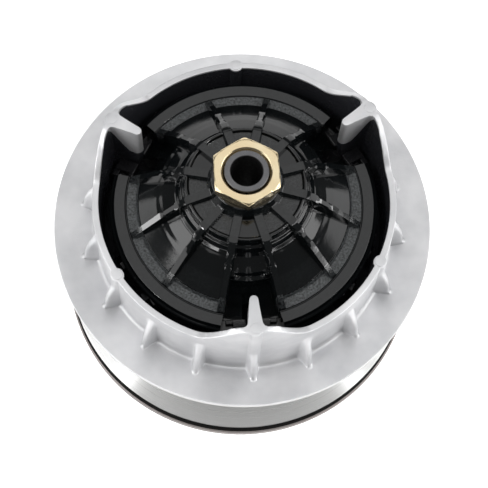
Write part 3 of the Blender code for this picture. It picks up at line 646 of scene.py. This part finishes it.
PIVOT = (60.0, 77.0)
LEVER_ANGLES = (-30, 90, 210)
FIN_ANGLES = (-90, 30, 150)
PIVOT_HOLE = 3.3
round_about = np.linspace(0, math.tau, 72, endpoint=False)
fittings = []                          # the levers' ears, and the round pads on the rim
ear = reach_of(round_about, [(0, 0, 5.5)], [(-90, 10.4), (12, 6.0), (168, 6.0), (90, 5.0)])
for degrees in LEVER_ANGLES:
    for low in (-11.6, 7.6):
        fittings.append(holed_plate(ear, round_about, PIVOT_HOLE, low, low + 4, PIVOT, degrees, paint=5.0))
pad_outline = np.array([(0, 0), (0, 0.3), (2.2, 0.3), (2.4, 0.27), (2.5, 0.1), (2.55, -0.3), (0, -0.3)])
for number in range(6):
    pad_r, pad_z = (70.9, RIM_HIGH) if number % 2 == 0 else (71.6, RIM_LOW)
    x = pad_r + pad_outline[:, :1] * np.cos(round_about)
    y = pad_outline[:, :1] * np.sin(round_about)
    z = np.broadcast_to(pad_z + pad_outline[:, 1:], x.shape)
    fittings.append(patch(spoke(np.stack([x, y, z], axis=-1), -90 + 60 * number), paint=-2.0))
casting = patch(slide_points, slide_finish, paint=slide_data[:, 3])
piece("sliding_cone_and_bowl", [casting] + fittings, [painted_casting, machined],
      "sliding_sheave", ["sliding_half"])
piece("guide_bush", [lathe([(15.3, 102.3), (17.7, 102.3), (17.7, 112.7), (15.3, 112.7)], 0.4, 96)],
      [bronze], "sliding_sheave", ["sliding_bush"])

# ---- centrifugal levers --------------------------------------------------------------------------
# Three forged steel levers swing outwards as the engine speeds up. Each turns on a bolt between two
# ears, carries its weight at the elbow, and presses a resin roller against the governor cup.
resin = plain_finish(
    "roller_resin", 0.0, (500, (0.10, 0.055, 0.03, 1), (0.2, 0.11, 0.06, 1)),
    (900, 0.4, 0.55), (noise, 1800, 0.03, 0.4), {"Specular IOR Level": 0.5})

ARM = 34.0                             # from the pivot to the roller
REST_ANGLE = math.radians(140)         # of the arm above the way outwards, with the belt groove open
SWING = math.radians(30)
TIP = (PIVOT[0] + ARM * math.cos(REST_ANGLE), PIVOT[1] + ARM * math.sin(REST_ANGLE))
ELBOW = (45.0, 82.5)
PIN_HOLE = 2.3
ROLLER_R = 7.0


def cross_turned(corners, middle, degrees, segments=48, radius=0.3, **options):
    """A turned part that lies across its spoke: corners are (distance from its own axis, side)."""
    outline = rounded(corners, radius)
    around = np.linspace(0, math.tau, segments, endpoint=False)[None]
    x = middle[0] + outline[:, :1] * np.cos(around)
    z = middle[1] + outline[:, :1] * np.sin(around)
    side = np.broadcast_to(outline[:, 1:], x.shape)
    return patch(spoke(np.stack([x, side, z], axis=-1), degrees), **options)


def hexagon(across_flats, around, corner_direction):
    """Distance from the middle to a hexagon's edge: half the width over the cosine of the angle to
    the nearest flat's middle."""
    off_flat = (around - math.radians(corner_direction + 30) + math.pi / 6) % (math.pi / 3) - math.pi / 6
    return across_flats / 2 / np.cos(off_flat)


def hex_across(across_flats, hole, low, high, middle, degrees, **options):
    """A small hexagon head or nut across its spoke, with chamfered corners: each face row is the
    smaller of the hexagon's reach and a 30 degree cone's."""
    flats = hexagon(across_flats, round_about, 0)
    cone = across_flats / 2 * 0.97
    levels = [(low, cone), (low + 0.12, cone + 0.2), (low + 0.35, cone + 0.6), (low + 0.6, cone + 1.1)]
    levels += [(low + high - side, size) for side, size in reversed(levels)]
    reach = np.array([np.minimum(flats, size) for side, size in levels])
    sides = np.array([side for side, size in levels])[:, None]
    inner = np.full((1, len(round_about)), hole)
    reach = np.concatenate([inner, reach, inner])
    sides = np.concatenate([[[low]], sides, [[high]]])
    x = middle[0] + reach * np.cos(round_about)
    z = middle[1] + reach * np.sin(round_about)
    return patch(spoke(np.stack([x, np.broadcast_to(sides, x.shape), z], axis=-1), degrees), **options)


def tapered_reach(middle, first, last):
    """Reach from the middle of a hole to the edge of a tapered arm: the farthest of sixty discs whose
    place and radius, (x, z, radius), go evenly from the first to the last."""
    discs = np.linspace(first, last, 60) - (*middle, 0)
    return reach_of(round_about, discs)


weight_eye = (*ELBOW, 6.0)
pivot_reach = tapered_reach(PIVOT, (*PIVOT, 5.2), weight_eye)
tip_reach = tapered_reach(TIP, (*TIP, 4.8), weight_eye)
weight = reach_of(round_about, [(0, 0, 5.85)], [(210, 6.5), (30, 6.0), (120, 5.8), (300, 5.9)])
weight = np.minimum(weight, 6.4)
for number, degrees in enumerate(LEVER_ANGLES, 1):
    tag = f"_{number}"
    arm = f"lever_arm{tag}"
    cheeks = []
    for low in (-7.3, 5.1):
        cheeks.append(holed_plate(pivot_reach, round_about, PIVOT_HOLE, low, low + 2.2, PIVOT, degrees))
        cheeks.append(holed_plate(tip_reach, round_about, PIN_HOLE, low, low + 2.2, TIP, degrees))
    cheeks.append(holed_plate(weight, round_about, 0.02, -7.0, 7.0, ELBOW, degrees, edge=0.5))
    sleeve = cross_turned([(PIVOT_HOLE, -7.3), (4.6, -7.3), (4.6, 7.3), (PIVOT_HOLE, 7.3)], PIVOT, degrees)
    piece("flyweight" + tag, cheeks + [sleeve], [dark_steel], arm, ["lever" + tag])
    pin = cross_turned([(0, -7.3), (2, -7.3), (2, 7.3), (0, 7.3)], TIP, degrees)
    piece("flyweight_pin" + tag, [pin], [ground_steel], arm, ["roller_pin" + tag])
    roller = cross_turned([(PIN_HOLE, -4.6), (6.4, -4.6), (ROLLER_R, -4.2), (ROLLER_R, 4.2), (6.4, 4.6),
                           (PIN_HOLE, 4.6)], TIP, degrees, 64)
    piece("flyweight_roller" + tag, [roller], [resin], f"lever_roller{tag}", ["roller" + tag])
    shank = cross_turned([(0, -12.2), (3, -12.2), (3, 15.4), (2.5, 15.9), (0, 15.9)], PIVOT, degrees)
    head = hex_across(9.35, 0.0, -15.9, -11.9, PIVOT, degrees)
    piece("pivot_bolt" + tag, [shank, head], [ground_steel],
          "sliding_sheave", ["lever_bolt" + tag])
    nut = hex_across(9.35, PIVOT_HOLE, 11.9, 15.9, PIVOT, degrees)
    piece("pivot_nut" + tag, [nut], [ground_steel], "sliding_sheave", ["lever_nut" + tag])

# ---- governor cup --------------------------------------------------------------------------------
# A black-painted casting keyed to the shaft: a ribbed disc, a steep shoulder, a cone whose inside
# guides the rollers, and a flat ring with a skirt. Three notches let the guide fins through.
black_paint, tree, shader, place = new_material("black_paint", 0.0, {"IOR": 1.52})
skin = mesh_value(tree, "skin")
grain = noise(tree, place, 950, 4, 0.6)
tone = added(tree, spread(tree, grain, 0, 0.8, 0.36, 0.64), skin, "MULTIPLY")
paint_tone = blended(tree, tone, (0.003, 0.0038, 0.0042, 1), (0.085, 0.092, 0.095, 1))
tree.links.new(paint_tone, shader.inputs["Base Color"])
gloss = spread(tree, noise(tree, place, 120), 0.05, 0.1)
tree.links.new(added(tree, gloss, added(tree, skin, 0.28, "MULTIPLY")), shader.inputs["Roughness"])
fine = added(tree, noise(tree, place, 420, 3), 0.05, "MULTIPLY")
raised(tree, shader, added(tree, fine, added(tree, grain, skin, "MULTIPLY")), 0.22, 0.9)

# Each line is one corner of the section, from the bore over the top to the skirt's lower edge:
# (radius, height) between the ribs, on a rib, in a notch, and on the underside
section = np.array([
    [(12.8, 129.5), (12.8, 129.5), (12.8, 129.5), (12.8, 118.0)],
    [(16.4, 129.5), (16.4, 129.5), (16.4, 129.5), (15.0, 118.0)],
    [(17.9, 120.9), (17.6, 124.2), (17.9, 120.9), (16.6, 118.0)],
    [(26.8, 120.4), (27.4, 123.1), (26.8, 120.4), (23.0, 115.4)],
    [(27.3, 122.0), (28.8, 122.9), (27.3, 122.0), (27.0, 112.8)],
    [(28.5, 122.0), (30.4, 122.4), (28.5, 122.0), (30.6, 110.6)],
    [(29.5, 117.5), (32.2, 121.2), (29.5, 117.5), (31.6, 110.0)],
    [(30.7, 116.9), (33.6, 120.2), (30.7, 116.9), (33.0, 109.0)],
    [(31.7, 113.9), (35.2, 118.9), (31.7, 113.9), (34.4, 108.0)],
    [(33.3, 111.8), (36.8, 117.5), (33.3, 111.8), (35.8, 107.3)],
    [(34.9, 111.0), (38.4, 116.3), (34.9, 111.0), (36.9, 106.6)],
    [(39.2, 108.6), (40.6, 114.6), (39.6, 107.6), (39.4, 105.0)],
    [(41.0, 107.4), (42.0, 113.4), (40.2, 105.2), (40.6, 104.2)],
    [(42.6, 106.4), (43.4, 112.0), (42.4, 104.0), (42.4, 102.6)],
    [(44.2, 105.3), (45.2, 110.2), (43.2, 99.0), (44.0, 101.2)],
    [(47.0, 103.4), (47.8, 107.7), (46.6, 95.2), (46.6, 98.9)],
    [(51.4, 100.4), (51.4, 104.2), (51.4, 90.9), (52.0, 94.1)],
    [(52.4, 98.0), (53.2, 102.4), (52.8, 89.9), (53.6, 94.0)],
    [(57.2, 97.9), (57.0, 98.5), (56.3, 87.8), (56.3, 93.8)],
    [(57.5, 97.1), (57.5, 97.1), (57.5, 87.4), (57.5, 93.7)],
    [(57.9, 97.9), (57.9, 97.9), (57.9, 87.2), (58.4, 93.6)],
    [(63.4, 97.9), (63.4, 97.9), (62.6, 86.9), (60.4, 93.4)],
    [(63.8, 96.2), (63.8, 96.2), (63.4, 86.8), (60.8, 92.9)],
    [(65.4, 95.4), (65.4, 95.4), (63.9, 86.6), (60.8, 92.2)],
    [(65.4, 92.4), (65.4, 92.4), (64.0, 86.4), (60.8, 91.2)],
    [(64.0, 91.4), (64.0, 91.4), (64.0, 86.2), (60.8, 90.4)],
    [(64.0, 84.6), (64.0, 84.6), (64.0, 84.6), (60.8, 84.6)],
])
plain, ribbed, notched, under = (rounded(section[:, k], 0.32, steps=1, closed=False) for k in range(4))
CUP_POINTS = 4
SKIRT_LOW = 84.6


def cup_row(number, place=0):
    """Row of a corner of the section, each of which has one step fewer than a turned part's."""
    return corner_row(number, place, CUP_POINTS)


# Columns: inside 37 mm they keep side distances from their rib's middle and share out the rest
# evenly; beyond 46.4 mm they also keep side distances from the middle of the notch or of the bay
# between two ribs; and they go over from one to the other in between.
RIBS = 12
HALF_BAY = math.pi / RIBS
near_inside = np.array([0, 0.9, 1.6, 1.95, 2.2, 2.6])
near_outside = np.array([0, 0.9, 1.3, 1.6, 1.95, 2.5])
edge_outside = np.array([9.6, 9.2, 6.8, 4.7, 4.2, 3.9, 2.6, 0])
INNER_PART = 37.0
OUTER_PART = 46.4
cup_r = plain[:, :1]
wide_r = np.maximum(cup_r, OUTER_PART)
inside_near = np.arcsin(near_inside[None] / np.maximum(cup_r, 12))
inside_rest = inside_near[:, -1:] + (HALF_BAY - inside_near[:, -1:]) * (np.arange(1, 9) / 8)[None]
outside_near = np.arcsin(near_outside[None] / wide_r)
outside_rest = HALF_BAY - np.arcsin(edge_outside[None] / wide_r)
over = np.clip((cup_r - INNER_PART) / (OUTER_PART - INNER_PART), 0, 1)
half_columns = (1 - over) * np.concatenate([inside_near, inside_rest], 1)
half_columns = half_columns + over * np.concatenate([outside_near, outside_rest], 1)
one_rib = np.concatenate([-half_columns[:, :0:-1], half_columns[:, :-1]], axis=1)
from_rib = np.tile(one_rib, (1, RIBS))
columns_per_rib = one_rib.shape[1]
rib_number = np.repeat(np.arange(RIBS), columns_per_rib)
cup_turn = np.radians(-75 + 30 * rib_number)[None] + from_rib
steps_from_rib = np.abs(np.tile(np.arange(columns_per_rib), RIBS) - (half_columns.shape[1] - 1))

# the columns that face a notch: on each side of a fin, out to the flank of the next rib
to_fin = (np.degrees(cup_turn) + 90 + 60) % 120 - 60
beside_notch = np.abs(to_fin[-1]) < 15.001
notch_part = np.broadcast_to(beside_notch & (steps_from_rib >= 4), from_rib.shape) * 1.0

# a rib's half-width and its flank's width along the section, and how much each point belongs to a rib
half_width = np.interp(ribbed[:, 0], [18, 29, 34, 37, 57], [2.05, 2.0, 1.55, 1.4, 1.3])[:, None]
flank = np.interp(ribbed[:, 0], [18, 30, 36, 57], [0.35, 0.5, 0.6, 0.55])[:, None]
rib_part = 1 - step(np.abs(from_rib) * cup_r, half_width, half_width + flank)

# the notch's first step down is narrower than the notch, and the rows below it go the whole way
row_numbers = np.arange(len(plain))[:, None]
first_step = (row_numbers >= cup_row(9, 2)) & (row_numbers < cup_row(13))
notch_share = notch_part * np.where(first_step, 1 - step(np.abs(to_fin), 9.4, 10.4), 1.0)
top_r = plain[:, :1] + (ribbed[:, :1] - plain[:, :1]) * rib_part
top_z = plain[:, 1:] + (ribbed[:, 1:] - plain[:, 1:]) * rib_part
top_r = top_r + (notched[:, :1] - top_r) * notch_share
top_z = top_z + (notched[:, 1:] - top_z) * notch_share

# under a notch the casting keeps 1.5 mm of thickness, down to the skirt's lower edge
low_z = np.broadcast_to(under[:, 1:], top_z.shape)
low_z = np.where(notch_part > 0, np.maximum(np.minimum(low_z, top_z - 1.5), SKIRT_LOW), low_z)

# the slot's round end: rows bend inwards by the half circle sqrt(4.2^2 - side^2)
SLOT_HALF = 4.2
SLOT_ROW = cup_row(16, 1)
slot_side = np.abs(np.radians(to_fin)) * cup_r
hollow = np.sqrt(np.clip(SLOT_HALF ** 2 - slot_side ** 2, 0, None)) * beside_notch[None]
hollow = hollow * np.interp(row_numbers, [cup_row(14, 3), SLOT_ROW, cup_row(18)], [0, 1, 0])
top_r = top_r - hollow
low_r = under[:, :1] - hollow


def two_sheets(top, bottom, kept, **fields):
    """A wall between two sheets that share their rows and columns: kept says which cells exist.
    Wherever a cell that exists borders one that doesn't, a strip joins the two sheets."""
    rows, columns = top.shape[:2]
    count = rows * columns
    number = np.arange(count).reshape(rows, columns)
    right = np.roll(number, -1, axis=1)
    cells = np.stack([number[:-1], right[:-1], right[1:], number[1:]], axis=-1)[kept]
    faces = [cells, cells[:, ::-1] + count]
    padded = np.zeros((rows + 1, columns), bool)
    padded[1:-1] = kept
    for border, turned in ((padded[1:] & ~padded[:-1], -1), (padded[:-1] & ~padded[1:], 1)):
        a, b = number[border], right[border]
        faces.append(np.stack([a, b, b + count, a + count], axis=-1)[:, ::turned])
    before = np.roll(kept, 1, axis=1)
    for border, turned in ((kept & ~before, -1), (~kept & before, 1)):
        a, b = number[:-1][border], number[1:][border]
        faces.append(np.stack([a, b, b + count, a + count], axis=-1)[:, ::turned])
    points = np.concatenate([top.reshape(-1, 3), bottom.reshape(-1, 3)])
    quads = facing_out(points, np.concatenate(faces))
    values = {}
    for key, value in fields.items():
        sheet = np.broadcast_to(value, (rows, columns)).reshape(-1)
        values[key] = np.concatenate([sheet, np.zeros(count)])
    return {"points": points, "quads": quads, "painted": np.zeros(len(quads), int), "fields": values}


# the open cells: a slot for the fin, and from the ring outwards a wider channel for it and its shoes
next_turn = np.roll(cup_turn, -1, axis=1)
cell_turn = cup_turn + 0.5 * ((next_turn - cup_turn + math.pi) % math.tau - math.pi)
cell_to_fin = np.abs((np.degrees(cell_turn) + 90 + 60) % 120 - 60)
cell_side = np.radians(cell_to_fin) * wide_r
slot_cells = (cell_side < SLOT_HALF) & (row_numbers >= SLOT_ROW)
channel_cells = (cell_side < 9.25) & (row_numbers >= cup_row(18, 3))
kept = ~((cell_to_fin[-1] < 15) & (slot_cells | channel_cells))[:-1]

# how coarse the cast skin is: most on the shelf inside the ring, little on the cone and the disc,
# less on a rib than beside it, and none in a notch
skin_part = np.zeros((len(plain), 1))
skin_part[cup_row(2):cup_row(3, 2)] = 0.3
skin_part[cup_row(14):cup_row(16, 3)] = 0.06
skin_part[cup_row(16, 3):cup_row(18, 2)] = 1.3
skin_part[cup_row(20):cup_row(21, 2)] = 0.12
skin_field = skin_part * (1 - 0.6 * rib_part) * (1 - notch_part)
cup_top = round_grid(top_r, top_z, cup_turn)
cup_shell = two_sheets(cup_top, round_grid(low_r, low_z, cup_turn), kept, skin=skin_field)

# ramps: the line that a roller's rim follows inside the cone as the levers swing and the half
# slides, with a gap of 0.4 mm and half of the ramp's thickness between them
TRAVEL = 23.0
RAMP_HALF = 1.3
moved = np.linspace(-0.05, 1.05, 25)
swung = REST_ANGLE - SWING * moved
path = np.stack([PIVOT[0] + ARM * np.cos(swung), PIVOT[1] - TRAVEL * moved + ARM * np.sin(swung)], axis=-1)
heading = np.gradient(path, axis=0)
heading = heading / np.linalg.norm(heading, axis=1, keepdims=True)
upward = np.stack([-heading[:, 1], heading[:, 0]], axis=-1)
upward = upward * np.where(upward[:, 1:] < 0, -1, 1)
ramp_line = path + upward * (ROLLER_R + 0.4 + RAMP_HALF)
level = np.zeros(len(path))
middle = np.stack([ramp_line[:, 0], level, ramp_line[:, 1]], axis=-1)
direction = np.stack([heading[:, 0], level, heading[:, 1]], axis=-1)
across = np.tile([0.0, 1.0, 0.0], (len(path), 1))
bar = rounded([(-5.4, -RAMP_HALF), (5.4, -RAMP_HALF), (5.4, RAMP_HALF), (-5.4, RAMP_HALF)], 0.3)
ramps = []
for degrees in LEVER_ANGLES:
    ramp = swept(middle, direction, across, bar)
    ramp["points"] = spoke(ramp["points"], degrees)
    ramps.append(ramp)
piece("ribbed_cup", [cup_shell] + ramps, [black_paint],
      "shaft_assembly", ["governor_cup"], sharp=40)

# ---- slider shoes --------------------------------------------------------------------------------
# Six black nylon shoes clip over the edges of the cup's skirt and guide the fins between them.
black_nylon = plain_finish(
    "black_nylon", 0.0, (300, (0.008, 0.008, 0.009, 1), (0.02, 0.02, 0.022, 1)),
    (500, 0.16, 0.26), (noise, 1600, 0.02, 0.4), {"IOR": 1.53})

SHOE_IN = 57
SHOE_OUT = 67.4
SHOE_LOW = 85.1
TOP_FALL = 0.33                        # how far a shoe's top falls in each millimetre outwards


def shoe_block(x0, x1, y0, y1, top, side, degrees, edge=0.35):
    """A block between two distances outwards and two aside, whose top falls away from the shoe's
    inner end. Its upper and lower edges are eased, and both faces are drawn together to the middle."""
    outline = rounded([(x0, side * y0), (x1, side * y0), (x1, side * y1), (x0, side * y1)], 0.5)
    middle = outline.mean(axis=0)
    size = np.linalg.norm(outline - middle, axis=1, keepdims=True)
    # an edge's rows from the middle of the face outwards: (distance in from the outline, depth)
    easing = [(size, 0), (edge * 2, 0), (edge, 0), (edge * 0.3, edge * 0.3), (0, edge)]
    rows = []
    for inset, depth in easing:
        flat = middle + (outline - middle) * (1 - inset / size)
        rows.append(np.column_stack([flat, np.full(len(flat), SHOE_LOW + depth)]))
    for inset, depth in easing[::-1]:
        flat = middle + (outline - middle) * (1 - inset / size)
        rows.append(np.column_stack([flat, top - depth - TOP_FALL * (flat[:, 0] - SHOE_IN)]))
    return patch(spoke(np.array(rows), degrees), loop_rows=False)


# a shoe's bearing pad, and the two hooks that hold it on the skirt: (x0, x1, y0, y1, top)
shoe_parts = [(SHOE_IN, SHOE_OUT, 2.7, 8.9, 91.0), (SHOE_IN, 59.0, 8.7, 12.4, 90.6),
              (64.3, SHOE_OUT, 8.7, 12.4, 90.6)]
shoe_places = [(degrees, side) for degrees in FIN_ANGLES for side in (-1, 1)]
for number, (degrees, side) in enumerate(shoe_places, 1):
    blocks = [shoe_block(*part, side, degrees) for part in shoe_parts]
    piece(f"glide_shoe_{number}", blocks, [black_nylon], "shaft_assembly",
          [f"slider_shoe_{number}"])

# ---- clamp nut -----------------------------------------------------------------------------------
# A 30 mm hexagon nut in yellow zinc clamps the cup on the shaft. Its corners are chamfered by a cone.
yellow_zinc, tree, shader, place = new_material("yellow_zinc", 1.0)
film = spread(tree, noise(tree, place, 90, 2), 0, 1)
zinc_tone = blended(tree, film, (0.72, 0.58, 0.36, 1), (0.78, 0.67, 0.45, 1))
tree.links.new(zinc_tone, shader.inputs["Base Color"])
tree.links.new(spread(tree, noise(tree, place, 500), 0.16, 0.24), shader.inputs["Roughness"])
raised(tree, shader, noise(tree, place, 1200), 0.01, 0.2)

NUT_LOW = 129.8
NUT_HIGH = 136.5
CREASE = 7                             # how sharply the hexagon meets the cone, per millimetre
nut_turn = np.linspace(0, math.tau, 240, endpoint=False)[None]
nut_rows = np.array([
    (10.7, NUT_HIGH - 1.5), (10.8, NUT_HIGH - 1.4), (11.75, NUT_HIGH - 0.1), (11.9, NUT_HIGH),
    (12.1, NUT_HIGH), (14.6, NUT_HIGH), (15.6, NUT_HIGH), (15.9, NUT_HIGH - 0.12), (16.7, NUT_HIGH - 0.5),
    (17.33, NUT_HIGH - 0.9), (17.33, NUT_LOW + 1.0), (16.3, NUT_LOW + 0.5), (15.2, NUT_LOW),
    (14.6, NUT_LOW), (11.7, NUT_LOW), (11.5, NUT_LOW + 0.1), (10.7, NUT_LOW + 0.75),
])
# the smaller of the hexagon's reach and the row's own, with the crease eased:
# -log(exp(-7 a) + exp(-7 b)) / 7
nut_reach = -np.logaddexp(-CREASE * hexagon(30.0, nut_turn, 30), -CREASE * nut_rows[:, :1]) / CREASE
nut_grid = round_grid(nut_reach, nut_rows[:, 1:], nut_turn)
piece("hex_nut", [patch(nut_grid)], [yellow_zinc], "shaft_assembly", ["clamp_nut"], sharp=180)

# ---- floor, lights and camera --------------------------------------------------------------------
# A plain white table and backdrop. One wide lamp hangs overhead. On each side stand a broad low
# lamp and a long narrow one lower still, and high up a square lamp and a small bright one. Seen
# directly or in a reflection, the table and backdrop are nearly white.
WHITE = (1, 1, 1, 1)
bpy.ops.mesh.primitive_plane_add(size=8, location=(0, 0, -0.0002))
floor = bpy.context.active_object
floor.name = "floor"
dull = {"Roughness": 0.9, "Specular IOR Level": 0.1}
floor_material, tree, shader, place = new_material("floor", 0.0, dull)
tint = blended(tree, noise(tree, place, 6), (0.78, 0.78, 0.78, 1), (0.8, 0.8, 0.8, 1))
tree.links.new(tint, shader.inputs["Base Color"])
seen = add_node(tree, "ShaderNodeLightPath")
direct = added(tree, seen.outputs["Is Camera Ray"], seen.outputs["Is Glossy Ray"], "MAXIMUM")
shader.inputs["Emission Color"].default_value = WHITE
tree.links.new(added(tree, direct, 0.7, "MULTIPLY"), shader.inputs["Emission Strength"])
floor.data.materials.append(floor_material)

bpy.ops.mesh.primitive_plane_add(size=1, location=(0, 1.7, 0.55))
backdrop = bpy.context.active_object
backdrop.name = "backdrop"
backdrop.scale = (3.4, 1.1, 1)
backdrop.rotation_euler = (math.pi / 2, 0, 0)
backdrop.data.materials.append(floor_material)

world = bpy.data.worlds.new("studio")
bpy.context.scene.world = world
world.use_nodes = True
tree = world.node_tree
tree.nodes["Background"].inputs["Color"].default_value = WHITE
tree.nodes["Background"].inputs["Strength"].default_value = 0.12


def lamp(name, place, aim, width, depth, power):
    """A soft rectangular lamp that faces the point of the pulley's axis at the height of its aim."""
    light = bpy.data.lights.new(name, "AREA")
    light.shape = "RECTANGLE"
    light.size = width
    light.size_y = depth
    light.energy = power
    thing = bpy.data.objects.new(name, light)
    thing.location = place
    thing.rotation_euler = (Vector(place) - Vector((0, 0, aim))).to_track_quat("Z", "Y").to_euler()
    bpy.context.scene.collection.objects.link(thing)


def round_place(distance, bearing, height):
    """A place at a distance from the axis in metres, and a bearing in degrees."""
    return (distance * math.cos(math.radians(bearing)), distance * math.sin(math.radians(bearing)), height)


lamp("overhead", (0.0, 0.12, 1.3), 0.08, 1.6, 1.75, 8.5)
for side, broad_bearing, strip_bearing in ((1, -8, -25), (-1, -172, -158)):
    lamp(f"side_{side}", round_place(1.15, broad_bearing, 0.34), 0.1, 1.4, 0.5, 3.6)
    lamp(f"strip_{side}", round_place(1.2, strip_bearing, 0.22), 0.1, 1.7, 0.14, 5.5)
    lamp(f"box_{side}", (side * 0.95, side * 0.07 - 0.12, 1.0), 0.08, 0.55, 0.55, 3.4)
    lamp(f"key_{side}", (side * 0.66 - 0.03, -0.3, 1.1), 0.08, 0.06, 0.06, 0.9)

camera_data = bpy.data.cameras.new("camera")
camera_data.lens = 86.8
camera_data.sensor_width = 36
camera = bpy.data.objects.new("camera", camera_data)
CAMERA_PLACE = (-0.02865, -0.2124, 0.6286)
CAMERA_RIGHT = (0.99766, -0.06189, 0.02881)
CAMERA_UP = (0.04843, 0.93906, 0.34031)
CAMERA_BACK = (-0.04812, -0.33812, 0.93988)
turned = Matrix((CAMERA_RIGHT, CAMERA_UP, CAMERA_BACK)).transposed().to_4x4()
camera.matrix_world = Matrix.Translation(CAMERA_PLACE) @ turned
bpy.context.scene.collection.objects.link(camera)
bpy.context.scene.camera = camera
bpy.context.scene.view_settings.view_transform = "Standard"
